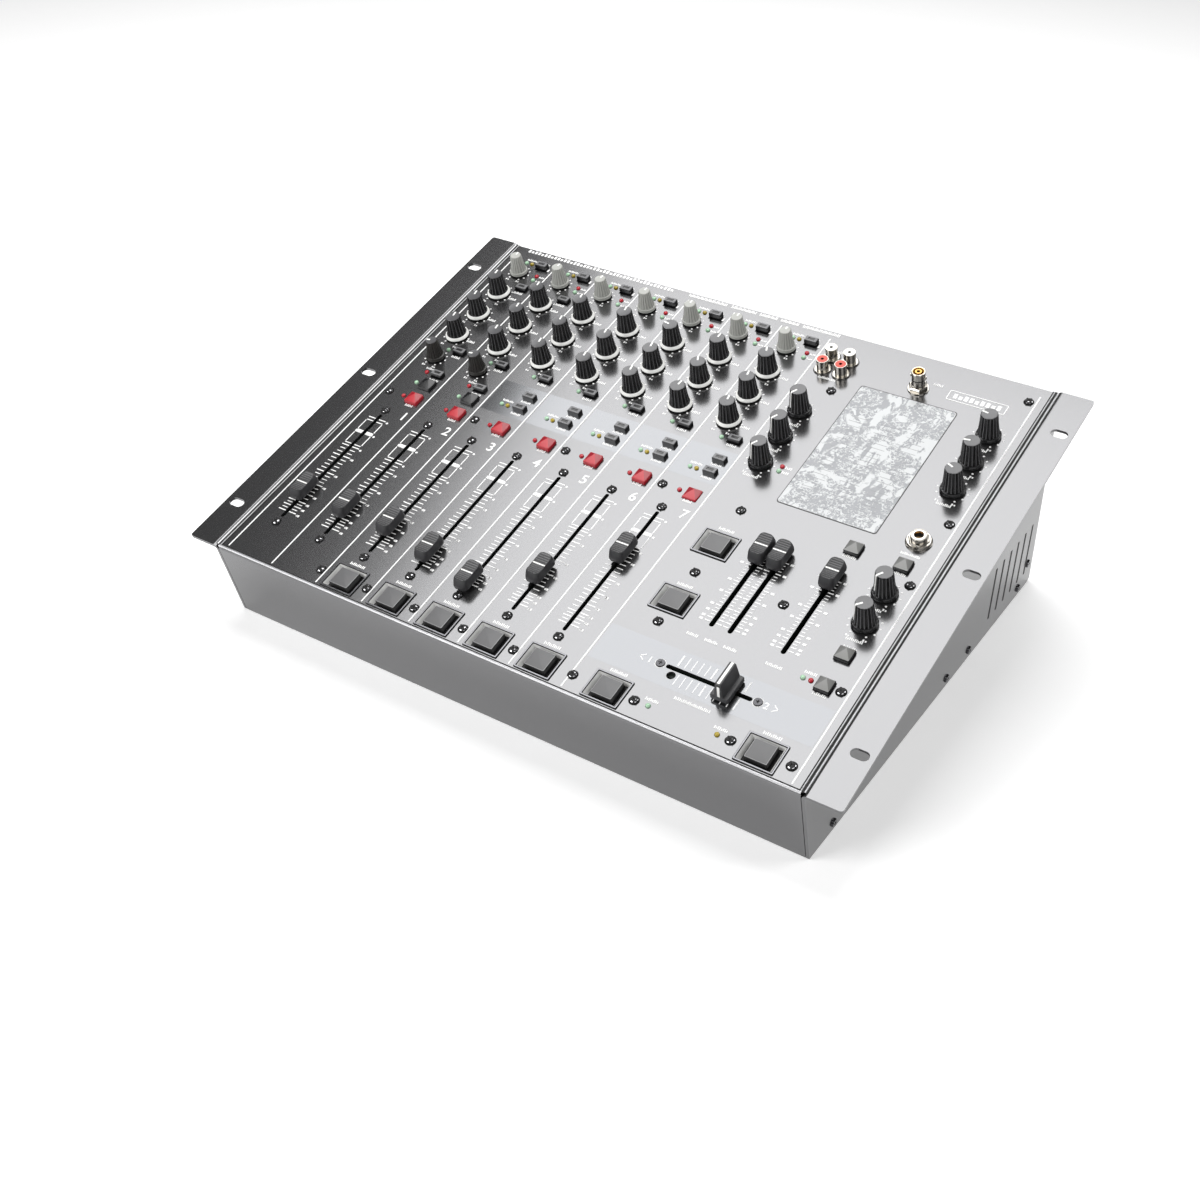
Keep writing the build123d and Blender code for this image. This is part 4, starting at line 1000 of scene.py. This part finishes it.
# a black strip over each vent opening, a little wider than it: painted shade
vents = Shell()
VENT_X, VENT_Y, VENT_PITCH = 218.62, 90.335, 12.9
VENT_LOW, VENT_HIGH, VENT_HALF = 13.6, 54.2, 1.2
for i in range(6):
    near, far = VENT_Y + VENT_PITCH * i - VENT_HALF, VENT_Y + VENT_PITCH * i + VENT_HALF
    for side in (-1, 1):
        slit = vents.loop([(side * VENT_X, y, z) for y, z in (
            (near, VENT_LOW), (far, VENT_LOW), (far, VENT_HIGH), (near, VENT_HIGH))])
        vents.face(slit if side > 0 else slit[::-1])
place(vents.mesh("vent_slits", [gap_and_painted_shade_black]), "vent_slits", "case", slot="case_paint")

# ---- Inside -------------------------------------------------------------------------------
# The circuit board and what it carries, under a green solder mask, seen only through the
# slots and vents. The mask's green is drawn nearly black: painted shade inside the case.
mask = finish_of("solder_mask_painted_shade", "06140c", "0a1c11", 1.0, (0.6, 0.7), 0.01)
frame["nodes"]["circuit_board"].data.materials.clear()
frame["nodes"]["circuit_board"].data.materials.append(mask)

# ---- Studio -------------------------------------------------------------------------------
# A white sweep under an overhead soft box, which the panel mirrors. A box at the front left
# whitens the floor and draws the bright lines along the folds, and two weaker ones at the right
# fill the side plate and the shadows.
floor_paint = finish_of("studio_sweep", "f4f4f4", "f7f7f7", 20.0, (0.9, 0.95), 0.001)
for node in floor_paint.node_tree.nodes:
    if node.bl_idname == "ShaderNodeBsdfPrincipled":
        node.inputs["Emission Color"].default_value = srgb("ffffff")
        node.inputs["Emission Strength"].default_value = 0.3
SWEEP_HALF = 4000
sweep = Shell()
sweep.face(sweep.loop([(x * SWEEP_HALF, y * SWEEP_HALF, 0)
                       for x, y in ((-1, -1), (1, -1), (1, 1), (-1, 1))]))
floor = bpy.data.objects.new("floor", sweep.mesh("floor", [floor_paint]))
floor.location = (0, 0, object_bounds()[0][2] - 0.0005)
bpy.context.scene.collection.objects.link(floor)


def soft_box(name, place_at, aim, width, height, power):
    """A rectangular lamp, turned towards a point. Metres and watts."""
    data = bpy.data.lights.new(name, "AREA")
    data.shape = "RECTANGLE"
    data.size = width
    data.size_y = height
    data.energy = power
    light = bpy.data.objects.new(name, data)
    light.location = place_at
    light.rotation_euler = (Vector(aim) - Vector(place_at)).to_track_quat("-Z", "Y").to_euler()
    bpy.context.scene.collection.objects.link(light)


soft_box("overhead", (-0.41, 0.5, 1.5), (-0.41, 0.5001, 0.0), 1.32, 1.28, 23.0)
soft_box("front_left", (-0.95, -1.5, 1.05), (-0.1, -0.2, 0.05), 1.2, 0.8, 26.0)
soft_box("front_right", (1.45, -1.2, 1.3), (0.2, -0.2, 0.0), 1.2, 0.9, 11.0)
soft_box("back_right", (1.5, 0.9, 1.2), (0.2, 0.0, 0.0), 1.0, 0.8, 12.0)
sky = bpy.data.worlds.new("studio")
sky.use_nodes = True
sky.node_tree.nodes["Background"].inputs[0].default_value = srgb("ffffff")
sky.node_tree.nodes["Background"].inputs[1].default_value = 0.1
bpy.context.scene.world = sky
bpy.context.scene.view_settings.view_transform = "Standard"
